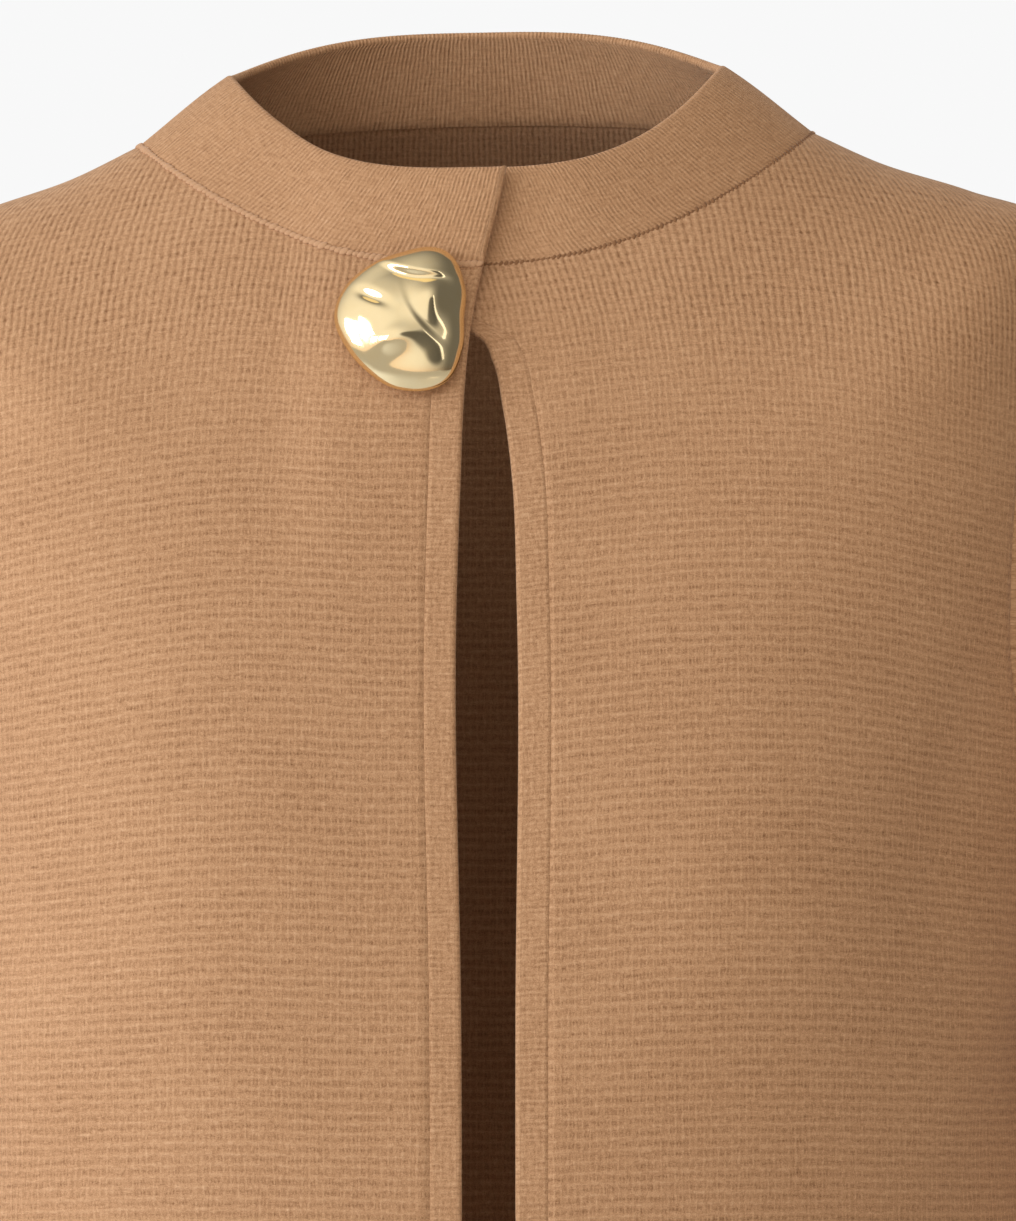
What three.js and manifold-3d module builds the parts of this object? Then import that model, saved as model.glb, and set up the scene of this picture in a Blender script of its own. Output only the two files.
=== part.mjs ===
// A camel knit coat, worn: two fronts, a back, two set-in sleeves, a standing neckband and a narrow
// band down each front edge. One large pebble button closes it at the neck, the wearer's right over
// the left, and below it the fronts hang a little apart.
//
// Millimetres. +X is the wearer's left, -Y is in front of the wearer, +Z is up. The origin is the
// middle of the neck seam at the height where the shoulders carry the coat.
//
// Every cloth piece is a wall: a grid of points on its outer face, and the same grid moved inwards
// by the cloth's thickness. The body is worked out from rings round the wearer. A place on it has an
// angle, 0 in front and 90 at the wearer's left, and a run, the distance down the cloth from the
// neck seam.

import * as THREE from "three";
import { mergeVertices } from "three/addons/utils/BufferGeometryUtils.js";
import Module from "manifold-3d";

// ---------------------------------------------------------------- driving dimensions

const BODY_WALL = 2.2; // the ridged knit of the fronts, back and sleeves
const BAND_WALL = 2.8; // the doubled strip down each front edge
const COLLAR_WALL = 3.0; // the doubled rib of the neckband
const SEAM = 0.4; // gap between two pieces at a seam
const BAND_WIDTH = 10; // of the strip down each front edge

// Near the neck the buttoned-over right front stands out, and the left one lies in, under it. Each
// comes in between two places across and two heights.
const OVER = { lift: 2.8, fromX: -64, toX: -42, fromZ: -160, toZ: -88 };
const UNDER = { tuck: 2.4, fromX: 34, toX: 10, fromZ: -104, toZ: -66 };

// Fullness of each front over the chest: its middle and how wide and high it reaches.
const BUST = { rise: 8, x: 88, wide: 50, z: -240, high: 92 };

// The right shoulder hangs a little lower, as a share of x that comes in between two heights.
const TILT = { share: 0.02, fromZ: -260, toZ: -60 };

// The runs of the places where the cut changes.
const SHOULDER_TIP = 92;
const UNDERARM = 280;
const HEM = 860;
const HEM_HEIGHT = -840; // its z

// Rings of the body at each run. side, front and back are how far each reaches from the middle. full
// is 2 for an ellipse and more for a fuller corner. dip is how suddenly the ring falls from the
// shoulder line to the middle of the front or back.
const RINGS = [
  { run: 0, side: 110, front: 70, back: 58, zFront: -41, zSide: 2, zBack: 10, full: 2, dip: 2.15 },
  { run: 25, side: 131, front: 82, back: 75, zFront: -64, zSide: -8, zBack: -8, full: 2.05, dip: 2.1 },
  { run: 60, side: 161, front: 96, back: 92, zFront: -97, zSide: -18, zBack: -38, full: 2.1, dip: 2.1 },
  { run: 92, side: 187, front: 107, back: 104, zFront: -128, zSide: -29, zBack: -72, full: 2.15, dip: 2.1 },
  { run: 130, side: 192, front: 117, back: 112, zFront: -161, zSide: -66, zBack: -110, full: 2.2, dip: 2 },
  { run: 190, side: 189, front: 130, back: 118, zFront: -210, zSide: -140, zBack: -168, full: 2.25, dip: 2 },
  { run: 280, side: 184, front: 143, back: 122, zFront: -268, zSide: -250, zBack: -254, full: 2.3, dip: 2 },
  { run: 440, side: 183, front: 149, back: 118, zFront: -420, zSide: -416, zBack: -416, full: 2.3, dip: 2 },
  { run: 640, side: 193, front: 151, back: 124, zFront: -614, zSide: -614, zBack: -614, full: 2.25, dip: 2 },
  { run: 860, side: 209, front: 156, back: 134, zFront: -830, zSide: -836, zBack: -838, full: 2.2, dip: 2 },
];

// The neckband's height along the cloth, its upper edge, a ring of the same kind, and how far it
// bows out between.
const COLLAR_HEIGHT = 34;
const COLLAR_TOP = {
  side: 80, front: 60, back: 48, zFront: -9, zSide: 25, zBack: 40, full: 2, dip: 3,
};
const COLLAR_BOW = 1.6;

// Where the front edges run: x of the right (over) and left (under) edge at each height. The left
// front's corner is buttoned far under the right one, so its edge swings across just below it.
const EDGES = [
  { z: 40, right: 11, left: -37 },
  { z: -9, right: 9.5, left: -36 },
  { z: -41, right: 2.4, left: -34 },
  { z: -50, right: 0.4, left: -30 },
  { z: -57, right: -0.8, left: -14 },
  { z: -64, right: -1.8, left: 1 },
  { z: -72, right: -2.6, left: 5.6 },
  { z: -86, right: -3.6, left: 8.6 },
  { z: -108, right: -4.4, left: 11.4 },
  { z: -150, right: -5.8, left: 13 },
  { z: -280, right: -4.2, left: 12.6 },
  { z: -540, right: -5, left: 14 },
  { z: -840, right: -8, left: 18 },
];

// Soft flutes that hang from the chest, shoulder blades and sides: angle round the body, half
// width in degrees, the height where each starts, and how far it stands out at the hem.
const FLUTES = [
  { angle: -24, spread: 11, top: -300, rise: 6 },
  { angle: -47, spread: 10, top: -250, rise: -7 },
  { angle: -70, spread: 12, top: -330, rise: 9 },
  { angle: 21, spread: 9, top: -340, rise: 5 },
  { angle: 44, spread: 11, top: -240, rise: -8 },
  { angle: 66, spread: 10, top: -360, rise: 8 },
  { angle: 118, spread: 10, top: -300, rise: -7 },
  { angle: 141, spread: 12, top: -210, rise: 9 },
  { angle: 166, spread: 11, top: -260, rise: -8 },
  { angle: 193, spread: 12, top: -330, rise: 7 },
  { angle: 219, spread: 11, top: -230, rise: 9 },
  { angle: 243, spread: 9, top: -300, rise: -8 },
];

// Soft creases on the body, from one place to another (angle in degrees, z), and their depth.
const BODY_CREASES = [
  { fromAngle: 66, fromZ: -176, toAngle: 56, toZ: -236, width: 20, depth: 3 },
  { fromAngle: -66, fromZ: -182, toAngle: -58, toZ: -246, width: 20, depth: 3 },
  { fromAngle: 80, fromZ: -280, toAngle: 62, toZ: -336, width: 24, depth: 3 },
  { fromAngle: -82, fromZ: -276, toAngle: -66, toZ: -326, width: 22, depth: 4 },
  { fromAngle: 116, fromZ: -160, toAngle: 128, toZ: -240, width: 20, depth: 4 },
  { fromAngle: 245, fromZ: -156, toAngle: 231, toZ: -232, width: 22, depth: 4 },
];

const ARM_SCOOP = 20; // degrees that each armhole cuts in from the side, in front and behind

// The sleeve hangs down the side of the body. Rings of the wearer's left sleeve, top to cuff.
const SLEEVE_RINGS = [
  { x: 243, y: -2, z: -262, across: 51, deep: 61 },
  { x: 247, y: 1, z: -330, across: 50, deep: 58 },
  { x: 248, y: 3, z: -400, across: 48, deep: 54 },
  { x: 247, y: -5, z: -470, across: 45, deep: 50 },
  { x: 246, y: -20, z: -545, across: 42, deep: 44 },
  { x: 246, y: -36, z: -622, across: 39, deep: 41 },
];

// Creases across the sleeve: height, direction round the arm (0 outside, 90 in front, 180 inside),
// how far round each reaches, how wide it is, how much it slants, and its depth.
const SLEEVE_CREASES = [
  { z: -300, around: 150, reach: 60, width: 10, slant: 14, depth: 4 },
  { z: -372, around: 80, reach: 58, width: 10, slant: -12, depth: 5 },
  { z: -402, around: 100, reach: 62, width: 9, slant: 10, depth: 6 },
  { z: -436, around: 75, reach: 50, width: 10, slant: -8, depth: 4 },
  { z: -356, around: 285, reach: 48, width: 13, slant: 12, depth: 3 },
  { z: -520, around: 200, reach: 70, width: 12, slant: 12, depth: 3 },
  { z: -580, around: 60, reach: 75, width: 11, slant: -10, depth: 3 },
];

const CREASE_DROP = 14; // how much lower the right sleeve's creases lie
const CAP_FULLNESS = 0.7; // how far the cap stands off in front and behind before it turns down
const CAP_DROP = 0.35; // how soon it turns down over the shoulder tip, and 1 elsewhere
const CAP_REACH = 0.9; // how far it keeps each of its end directions
const CAP_END = 0.2; // the place on the sleeve that its lower end heads for
const CAP_TOP_SPREAD = 50; // degrees round the shoulder tip where it runs straight on instead
const UNDERARM_TURN = 62; // degrees over which the underarm seam turns from body to sleeve

// How finely the cloth is divided: the runs of the body's rows, and steps round each piece.
const BODY_ROWS = [
  0, 10, 20, 30, 42, 56, 74, 92, 98, 108, 122, 140, 162, 188, 216, 244, 266, 280, 320, 380, 460, 560,
  660, 760, 860,
];
const FRONT_STEPS = 12;
const BACK_STEPS = 20;
const BAND_STEPS = 2;
const COLLAR_RISES = [0, 0.33, 0.67, 1];
const CAP_STEPS = 5; // rows of the sleeve between the armhole and its first ring
const SLEEVE_STEPS = 12; // rows of the sleeve below that

// The button: a cast pebble. Its outline's radii every 30 degrees, from the wearer's left, upwards.
const BUTTON_RADII = [20.5, 23.8, 28, 23.2, 21, 20.8, 21, 20.2, 21.8, 25.8, 27.5, 23];
const BUTTON_CROWN = 10; // how far its face rises from its rim
const BUTTON_RIM = 2; // thickness at its rim
const BUTTON_FULLNESS = 2.6; // 2 for a plain dome, and more for a fuller one
const BUTTON_DISH = 0.5; // share of the way in from the rim over which the dents come in
// Its back: a flat middle and a rounded edge, each a share of the outline and its height.
const BUTTON_BACK = [
  { share: 0.55, height: 0 },
  { share: 0.9, height: 0.6 },
];
const BUTTON_LIFT = 6.2; // from the left front, where it is sewn, to the button's back
const BUTTON_LEAN = 26; // degrees that it leans back, with the chest
const BUTTON_SEAT = { x: -17, z: -49.5 }; // where it is sewn
const BUTTON_OFFSET = { across: -7, up: -14 }; // from there to the pebble's middle
const BUTTON_STEPS = 36;
const BUTTON_SHELLS = [0, 0.22, 0.42, 0.6, 0.76, 0.88, 0.96, 1];
// Dents in its face: place, direction in degrees, half length, half width and depth.
const BUTTON_DENTS = [
  { x: -5, z: 6.5, turn: -24, long: 11, wide: 3.2, depth: 2.8 },
  { x: 8, z: 5, turn: 62, long: 7.5, wide: 5, depth: 3.4 },
  { x: 9, z: -8, turn: -42, long: 11, wide: 3, depth: 2.2 },
  { x: -6, z: 19, turn: 22, long: 10, wide: 2.6, depth: 2 },
];

// The loop cast on the button's back, and the thread that ties it to the left front.
const SHANK_LOOP = { ring: 2.1, wire: 0.7, sunk: 0.3 };
const THREAD_LOOP = { ring: 1.8, wire: 0.45 };
const THREAD_PAD = { radius: 3.2, thick: 0.8 };
const BUTTONHOLE = { long: 24, wide: 7.6, across: -7 }; // across is from where the button is sewn
const HOLE_CUT = { deep: 24, front: 16 }; // of the cutter, through the cloth and in front of it
const [WIRE_SIDES, ROUND_STEPS] = [8, 20]; // round a loop's wire, and round a loop, pad or hole

const COLOURS = { camel: 0xb98a5e, gold: 0xd9b25a, thread: 0xa67a50 };

// ---------------------------------------------------------------- small helpers

const radians = THREE.MathUtils.degToRad;
const clamp01 = (t) => Math.min(1, Math.max(0, t));
const smooth = (from, to, value) => {
  const t = clamp01((value - from) / (to - from));
  return t * t * (3 - 2 * t);
};
const bell = (value, middle, width) => Math.exp(-(((value - middle) / width) ** 2));

// A smooth curve through a table's column, read at a place between its rows.
function through(places, values, at) {
  const last = places.length - 1;
  let i = 0;
  while (i < last - 1 && at > places[i + 1]) i += 1;
  const pitch = (j) => (values[j + 1] - values[j]) / (places[j + 1] - places[j]);
  const slope = (j) => {
    if (j === 0) return pitch(0);
    if (j === last) return pitch(last - 1);
    const [before, after] = [places[j] - places[j - 1], places[j + 1] - places[j]];
    return (pitch(j - 1) * after + pitch(j) * before) / (before + after);
  };
  const step = places[i + 1] - places[i];
  const t = clamp01((at - places[i]) / step);
  const [t2, t3] = [t * t, t * t * t];
  return (
    (2 * t3 - 3 * t2 + 1) * values[i] +
    (t3 - 2 * t2 + t) * step * slope(i) +
    (3 * t2 - 2 * t3) * values[i + 1] +
    (t3 - t2) * step * slope(i + 1)
  );
}

const columnsOf = (table) =>
  Object.fromEntries(Object.keys(table[0]).map((key) => [key, table.map((row) => row[key])]));

const RING_COLUMNS = columnsOf(RINGS);
const EDGE_COLUMNS = columnsOf([...EDGES].reverse());
const SLEEVE_COLUMNS = columnsOf(SLEEVE_RINGS.map((ring, place) => ({ place, ...ring })));

// A table's row at a place between its rows.
function rowAt(columns, key, at) {
  const entries = Object.entries(columns);
  return Object.fromEntries(entries.map(([name, values]) => [name, through(columns[key], values, at)]));
}

const ringAt = (run) => rowAt(RING_COLUMNS, "run", run);
const edgeAt = (side, z) => through(EDGE_COLUMNS.z, EDGE_COLUMNS[side], z);

// A ring's point at an angle round the body: 0 in front, 90 at the wearer's left, 180 behind.
function ringPoint(ring, angle, swell = 0) {
  const a = radians(angle);
  const [s, c] = [Math.sin(a), Math.cos(a)];
  const depth = c > 0 ? ring.front : ring.back;
  const power = ring.full;
  const reach =
    ((Math.abs(c) / depth) ** power + (Math.abs(s) / ring.side) ** power) ** (-1 / power);
  const x = reach * s;
  const fall = 1 - Math.min(1, Math.abs(x) / ring.side) ** ring.dip;
  const low = c > 0 ? ring.zFront : ring.zBack;
  const z = ring.zSide + (low - ring.zSide) * fall;
  return new THREE.Vector3((reach + swell) * s, -(reach + swell) * c, z);
}

// ---------------------------------------------------------------- the body's form

const turnTo = (from, to) => ((((to - from) % 360) + 540) % 360) - 180;

function flutes(angle, z) {
  return FLUTES.reduce((sum, f) => {
    const grown = smooth(f.top, HEM_HEIGHT, z);
    return sum + f.rise * grown * bell(turnTo(f.angle, angle), 0, f.spread);
  }, 0);
}

// How far a point lies into a soft crease that runs between two places.
function crease(c, angle, z, reach) {
  const mm = radians(reach); // millimetres round the body for each degree
  const p = [turnTo(c.fromAngle, angle) * mm, z - c.fromZ];
  const d = [turnTo(c.fromAngle, c.toAngle) * mm, c.toZ - c.fromZ];
  const along = clamp01((p[0] * d[0] + p[1] * d[1]) / (d[0] ** 2 + d[1] ** 2));
  const off = Math.hypot(p[0] - along * d[0], p[1] - along * d[1]);
  return -c.depth * bell(off, 0, c.width);
}

// Near the neck the right front lies over the left one.
function overlap(layer, x, z) {
  const share = (c) => smooth(c.fromX, c.toX, x) * smooth(c.fromZ, c.toZ, z);
  if (layer === "right") return OVER.lift * share(OVER);
  if (layer === "left") return -UNDER.tuck * share(UNDER);
  return 0;
}

// The outer face of the body. layer is the front that it is on, or the back.
function bodyPoint(angle, run, layer) {
  const ring = ringAt(run);
  const bare = ringPoint(ring, angle);
  const reach = Math.hypot(bare.x, bare.y);
  const infront = bare.y < 0 ? 1 : 0;
  const chest = bell(Math.abs(bare.x), BUST.x, BUST.wide) * bell(bare.z, BUST.z, BUST.high);
  const creases = BODY_CREASES.reduce((sum, c) => sum + crease(c, angle, bare.z, reach), 0);
  const fullness = BUST.rise * infront * chest + flutes(angle, bare.z);
  const point = ringPoint(ring, angle, fullness + creases + overlap(layer, bare.x, bare.z));
  point.z += TILT.share * point.x * smooth(TILT.fromZ, TILT.toZ, point.z);
  return point;
}

// The neckband stands on the neck seam: rise runs from 0 there to 1 at its upper edge.
function collarPoint(angle, rise, layer) {
  const low = bodyPoint(angle, 0, layer);
  const top = ringPoint(COLLAR_TOP, angle);
  const swell = overlap(layer, top.x, top.z) + COLLAR_BOW * 4 * rise * (1 - rise);
  const high = ringPoint(COLLAR_TOP, angle, swell);
  high.z += TILT.share * high.x;
  return low.lerp(high, rise);
}

// The outward direction of the cloth's outer face. A run below 0 is on the neckband, and at a seam
// it is the mean of the two pieces that meet, so that their edges lie face to face.
function clothNormal(angle, run, layer) {
  const [turn, step] = [0.2, 0.5];
  const place = (a, r) =>
    r < 0 ? collarPoint(a, -r / COLLAR_HEIGHT, layer) : bodyPoint(a, r, layer);
  const across = place(angle + turn, run).sub(place(angle - turn, run));
  const below = place(angle, Math.min(HEM, run + step));
  const above = place(angle, Math.max(-COLLAR_HEIGHT, run - step));
  return below.sub(above).cross(across).normalize();
}

// The angle at which a front's edge, moved in by some width, crosses a ring.
function edgeAngle(side, run, inset) {
  const ring = ringAt(run);
  const x = edgeAt(side, ring.zFront) + (side === "right" ? -inset : inset);
  return THREE.MathUtils.radToDeg(Math.asin(x / ring.front));
}

// The angle, from the side, that the armhole has cut in at a ring.
function armScoop(run) {
  if (run <= SHOULDER_TIP || run >= UNDERARM) return 0;
  const share = (run - SHOULDER_TIP) / (UNDERARM - SHOULDER_TIP);
  return ARM_SCOOP * Math.sqrt(Math.sin(Math.PI * share));
}

// ---------------------------------------------------------------- walls of cloth

// Moves one edge of a grid of points into its piece, by half the gap of a seam.
function takeIn({ rows, normals }, edge) {
  const last = rows.length - 1;
  const end = rows[0].length - 1;
  const places = {
    top: rows[0].map((_, j) => [0, j, 1, j]),
    bottom: rows[0].map((_, j) => [last, j, last - 1, j]),
    start: rows.map((_, i) => [i, 0, i, 1]),
    end: rows.map((_, i) => [i, end, i, end - 1]),
  }[edge];
  const moved = places.map(([i, j, inI, inJ], k) => {
    const before = places[Math.max(0, k - 1)];
    const after = places[Math.min(places.length - 1, k + 1)];
    const along = rows[after[0]][after[1]].clone().sub(rows[before[0]][before[1]]);
    const inwards = along.cross(normals[i][j]).normalize();
    if (inwards.dot(rows[inI][inJ].clone().sub(rows[i][j])) < 0) inwards.negate();
    return rows[i][j].clone().addScaledVector(inwards, SEAM / 2);
  });
  places.forEach(([i, j], k) => rows[i][j].copy(moved[k]));
}

// A closed shell from the points and outward normals of its outer face, rows from the top down
// and each row towards the wearer's left in front. turned is true where the rows run the other way.
function wall({ rows, normals }, thickness, { closed = false, turned = false } = {}) {
  const [height, width] = [rows.length, rows[0].length];
  const inner = rows.map((row, i) =>
    row.map((p, j) => p.clone().addScaledVector(normals[i][j], -thickness)),
  );
  const points = [...rows.flat(), ...inner.flat()];
  const outerAt = (i, j) => i * width + (j % width);
  const innerAt = (i, j) => height * width + outerAt(i, j);
  const faces = [];
  const quad = (a, b, c, d) => {
    if (turned) faces.push(a, c, b, a, d, c);
    else faces.push(a, b, c, a, c, d);
  };
  const columns = closed ? width : width - 1;
  const [foot, side] = [height - 1, width - 1];
  for (let j = 0; j < columns; j += 1) {
    for (let i = 0; i < foot; i += 1) {
      quad(outerAt(i, j), outerAt(i + 1, j), outerAt(i + 1, j + 1), outerAt(i, j + 1));
      quad(innerAt(i, j), innerAt(i, j + 1), innerAt(i + 1, j + 1), innerAt(i + 1, j));
    }
    quad(outerAt(0, j), outerAt(0, j + 1), innerAt(0, j + 1), innerAt(0, j));
    quad(outerAt(foot, j), innerAt(foot, j), innerAt(foot, j + 1), outerAt(foot, j + 1));
  }
  for (let i = 0; i < foot && !closed; i += 1) {
    quad(outerAt(i, 0), innerAt(i, 0), innerAt(i + 1, 0), outerAt(i + 1, 0));
    quad(outerAt(i, side), outerAt(i + 1, side), innerAt(i + 1, side), innerAt(i, side));
  }
  const geometry = new THREE.BufferGeometry();
  geometry.setAttribute(
    "position",
    new THREE.BufferAttribute(new Float32Array(points.flatMap((p) => p.toArray())), 3),
  );
  geometry.setIndex(faces);
  geometry.computeVertexNormals();
  return geometry;
}

// ---------------------------------------------------------------- booleans

const wasm = await Module();
wasm.setup();

function solidOf(geometry) {
  const bare = geometry.index ? geometry.toNonIndexed() : geometry.clone();
  const positions = new THREE.BufferGeometry();
  positions.setAttribute("position", bare.getAttribute("position"));
  const merged = mergeVertices(positions, 1e-4);
  return new wasm.Manifold(
    new wasm.Mesh({
      numProp: 3,
      vertProperties: merged.attributes.position.array,
      triVerts: new Uint32Array(merged.index.array),
    }),
  );
}

function geometryOf(solid) {
  const mesh = solid.getMesh();
  const geometry = new THREE.BufferGeometry();
  geometry.setAttribute("position", new THREE.BufferAttribute(mesh.vertProperties, 3));
  geometry.setIndex(new THREE.BufferAttribute(mesh.triVerts, 1));
  geometry.computeVertexNormals();
  return geometry;
}

const coat = new THREE.Group();
coat.name = "knit_coat";

function add(name, geometry, colour, metalness, roughness, parent = coat) {
  const material = new THREE.MeshStandardMaterial({ color: colour, metalness, roughness });
  const mesh = new THREE.Mesh(geometry, material);
  mesh.name = name;
  parent.add(mesh);
  return mesh;
}
const addCloth = (name, geometry) => add(name, geometry, COLOURS.camel, 0, 0.95);

// ---------------------------------------------------------------- body pieces

const steps = (from, to, count) =>
  Array.from({ length: count + 1 }, (_, i) => from + ((to - from) * i) / count);

// The angles of a front's columns at a ring, in rising order.
function frontAngles(side, run) {
  const edge = edgeAngle(side, run, BAND_WIDTH);
  const outer = 90 - armScoop(run);
  return side === "right" ? steps(-outer, edge, FRONT_STEPS) : steps(edge, outer, FRONT_STEPS);
}

function backAngles(run) {
  const scoop = armScoop(run);
  return steps(90 + scoop, 270 - scoop, BACK_STEPS);
}

function bandAngles(side, run) {
  const inner = edgeAngle(side, run, BAND_WIDTH);
  const outer = edgeAngle(side, run, 0);
  return side === "right" ? steps(inner, outer, BAND_STEPS) : steps(outer, inner, BAND_STEPS);
}

function bodyGrid(anglesAt, layer) {
  const each = (make) => BODY_ROWS.map((run) => anglesAt(run).map((a) => make(a, run, layer)));
  return { rows: each(bodyPoint), normals: each(clothNormal) };
}

function buildPanel(anglesAt, layer, thickness, seams) {
  const grid = bodyGrid(anglesAt, layer);
  for (const edge of seams) takeIn(grid, edge);
  return wall(grid, thickness);
}

const buildFront = (side) =>
  buildPanel((run) => frontAngles(side, run), side, BODY_WALL, ["top", "start", "end"]);

const buildBack = () => buildPanel(backAngles, "back", BODY_WALL, ["top", "start", "end"]);

function buildBand(side) {
  const seams = ["top", side === "right" ? "start" : "end"];
  return buildPanel((run) => bandAngles(side, run), side, BAND_WALL, seams);
}

// The angle of a front's edge on the neckband.
function collarEnd(side, rise) {
  const front = THREE.MathUtils.lerp(RINGS[0].front, COLLAR_TOP.front, rise);
  const z = THREE.MathUtils.lerp(RINGS[0].zFront, COLLAR_TOP.zFront, rise);
  return THREE.MathUtils.radToDeg(Math.asin(edgeAt(side, z) / front));
}

// The neckband runs from the left front's edge round the back to the right front's, with the same
// places along the seam as the pieces below it.
function buildCollar() {
  const right = [...frontAngles("right", 0), ...bandAngles("right", 0).slice(1)];
  const left = [...bandAngles("left", 0), ...frontAngles("left", 0).slice(1)];
  const back = backAngles(0).slice(1, -1);
  const row = (make, rise) => {
    const swung = (angles, side, from) => {
      const share = (collarEnd(side, rise) - from) / (collarEnd(side, 0) - from);
      return angles.map((a) => make(from + (a - from) * share, rise, side));
    };
    const behind = back.map((a) => make(a, rise, "back"));
    return [...swung(left, "left", 90), ...behind, ...swung(right, "right", -90)];
  };
  const rises = [...COLLAR_RISES].reverse();
  const normalAt = (a, rise, layer) => clothNormal(a, -rise * COLLAR_HEIGHT, layer);
  const grid = {
    rows: rises.map((rise) => row(collarPoint, rise)),
    normals: rises.map((rise) => row(normalAt, rise)),
  };
  takeIn(grid, "bottom");
  return wall(grid, COLLAR_WALL);
}

// ---------------------------------------------------------------- sleeves

// Sleeves are worked out on the wearer's left, and mirrored for the right.
const onSide = (v, side) => (side === "left" ? v : new THREE.Vector3(-v.x, v.y, v.z));

// The armhole's loop: down the front from the shoulder, and up the back.
function armhole(side) {
  const runs = BODY_ROWS.filter((run) => run >= SHOULDER_TIP && run <= UNDERARM);
  const hand = side === "left" ? 1 : -1;
  const place = (run, behind) => {
    const angle = hand * (90 + behind * armScoop(run));
    const layer = behind < 0 ? side : "back";
    return {
      point: onSide(bodyPoint(angle, run, layer), side),
      normal: onSide(clothNormal(angle, run, layer), side),
    };
  };
  const front = runs.map((run) => place(run, -1));
  const back = runs.slice(1, -1).map((run) => place(run, 1));
  return [...front, ...back.reverse()];
}

function sleeveCreases(around, z, side) {
  return SLEEVE_CREASES.reduce((sum, c) => {
    const turn = turnTo(c.around, around);
    const middle = c.z - (side === "right" ? CREASE_DROP : 0);
    const height = z - middle - (c.slant * turn) / 90;
    return sum - c.depth * bell(height, 0, c.width) * bell(turn, 0, c.reach);
  }, 0);
}

// A point of the sleeve below its cap: around is 0 outside, 90 in front and 180 against the body.
function sleevePoint(place, around, side) {
  const middleOf = (ring) => new THREE.Vector3(ring.x, ring.y, ring.z);
  const ring = rowAt(SLEEVE_COLUMNS, "place", place);
  const step = 0.05; // between the rings that give the sleeve's direction
  const next = rowAt(SLEEVE_COLUMNS, "place", Math.min(place + step, SLEEVE_RINGS.length - 1));
  const last = rowAt(SLEEVE_COLUMNS, "place", Math.max(place - step, 0));
  const down = middleOf(next).sub(middleOf(last)).normalize();
  const out = new THREE.Vector3(1, 0, 0).addScaledVector(down, -down.x).normalize();
  const forth = out.clone().cross(down);
  const a = radians(around);
  const swell = sleeveCreases(around, ring.z, side);
  return middleOf(ring)
    .addScaledVector(out, (ring.across + swell) * Math.cos(a))
    .addScaledVector(forth, -(ring.deep + swell) * Math.sin(a));
}

// How far round the sleeve each place of the armhole's loop comes.
function loopTurns(loop) {
  const lengths = [0];
  loop.forEach((place, i) => {
    const next = loop[(i + 1) % loop.length];
    lengths.push(lengths[i] + place.point.distanceTo(next.point));
  });
  const under = loop.reduce((low, place, i) => (place.point.z < loop[low].point.z ? i : low), 0);
  return loop.map((_, i) => {
    if (i <= under) return (180 * lengths[i]) / lengths[under];
    return 180 + (180 * (lengths[i] - lengths[under])) / (lengths.at(-1) - lengths[under]);
  });
}

// One line of the cap, from the armhole out and over to the sleeve's first ring.
function capLine(start, turn, side) {
  const to = sleevePoint(0, turn, side);
  const far = to.distanceTo(start.edge);
  const straight = to.clone().sub(start.edge).normalize();
  const free = 1 - bell(turnTo(0, turn), 0, CAP_TOP_SPREAD);
  const turned = THREE.MathUtils.lerp(CAP_DROP, 1, free);
  const leave = start.away.clone().addScaledVector(straight, turned);
  leave.addScaledVector(start.normal, CAP_FULLNESS * free);
  leave.normalize().multiplyScalar(far * CAP_REACH);
  const arrive = sleevePoint(CAP_END, turn, side).sub(to);
  arrive.normalize().multiplyScalar(far * CAP_REACH);
  return steps(0, 1, CAP_STEPS).map((t) => {
    const [t2, t3] = [t * t, t * t * t];
    return start.edge
      .clone()
      .multiplyScalar(2 * t3 - 3 * t2 + 1)
      .addScaledVector(leave, t3 - 2 * t2 + t)
      .addScaledVector(to, 3 * t2 - 2 * t3)
      .addScaledVector(arrive, t3 - t2);
  });
}

// Normals of a closed tube of points whose rows run from the top down and round by the front.
function tubeNormals(rows) {
  const last = rows.length - 1;
  const count = rows[0].length;
  return rows.map((row, i) =>
    row.map((_, j) => {
      const across = row[(j + 1) % count].clone().sub(row[(j + count - 1) % count]);
      const down = rows[Math.min(last, i + 1)][j].clone().sub(rows[Math.max(0, i - 1)][j]);
      return across.cross(down).normalize();
    }),
  );
}

function buildSleeve(side) {
  const loop = armhole(side);
  const turns = loopTurns(loop);
  const starts = loop.map((place, i) => {
    const next = loop[(i + 1) % loop.length].point;
    const before = loop[(i + loop.length - 1) % loop.length].point;
    const along = next.clone().sub(before).normalize();
    const away = place.normal.clone().cross(along).normalize();
    return { ...place, away, edge: place.point.clone().addScaledVector(away, SEAM / 2) };
  });
  const cap = starts.map((start, j) => capLine(start, turns[j], side));
  const rows = steps(0, CAP_STEPS, CAP_STEPS).map((i) => cap.map((line) => line[i]));
  for (const place of steps(0, SLEEVE_RINGS.length - 1, SLEEVE_STEPS).slice(1)) {
    rows.push(turns.map((turn) => sleevePoint(place, turn, side)));
  }
  const normals = tubeNormals(rows);
  // Over the shoulder the cap's edge lies face to face with the body's; under the arm it turns.
  normals[0] = starts.map((start, j) =>
    start.normal.clone().lerp(normals[0][j], bell(turns[j], 180, UNDERARM_TURN)).normalize(),
  );
  const placed = (grid) => grid.map((row) => row.map((v) => onSide(v, side)));
  const grid = { rows: placed(rows), normals: placed(normals) };
  return wall(grid, BODY_WALL, { closed: true, turned: side === "left" });
}

// ---------------------------------------------------------------- the button and its fastening

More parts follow.
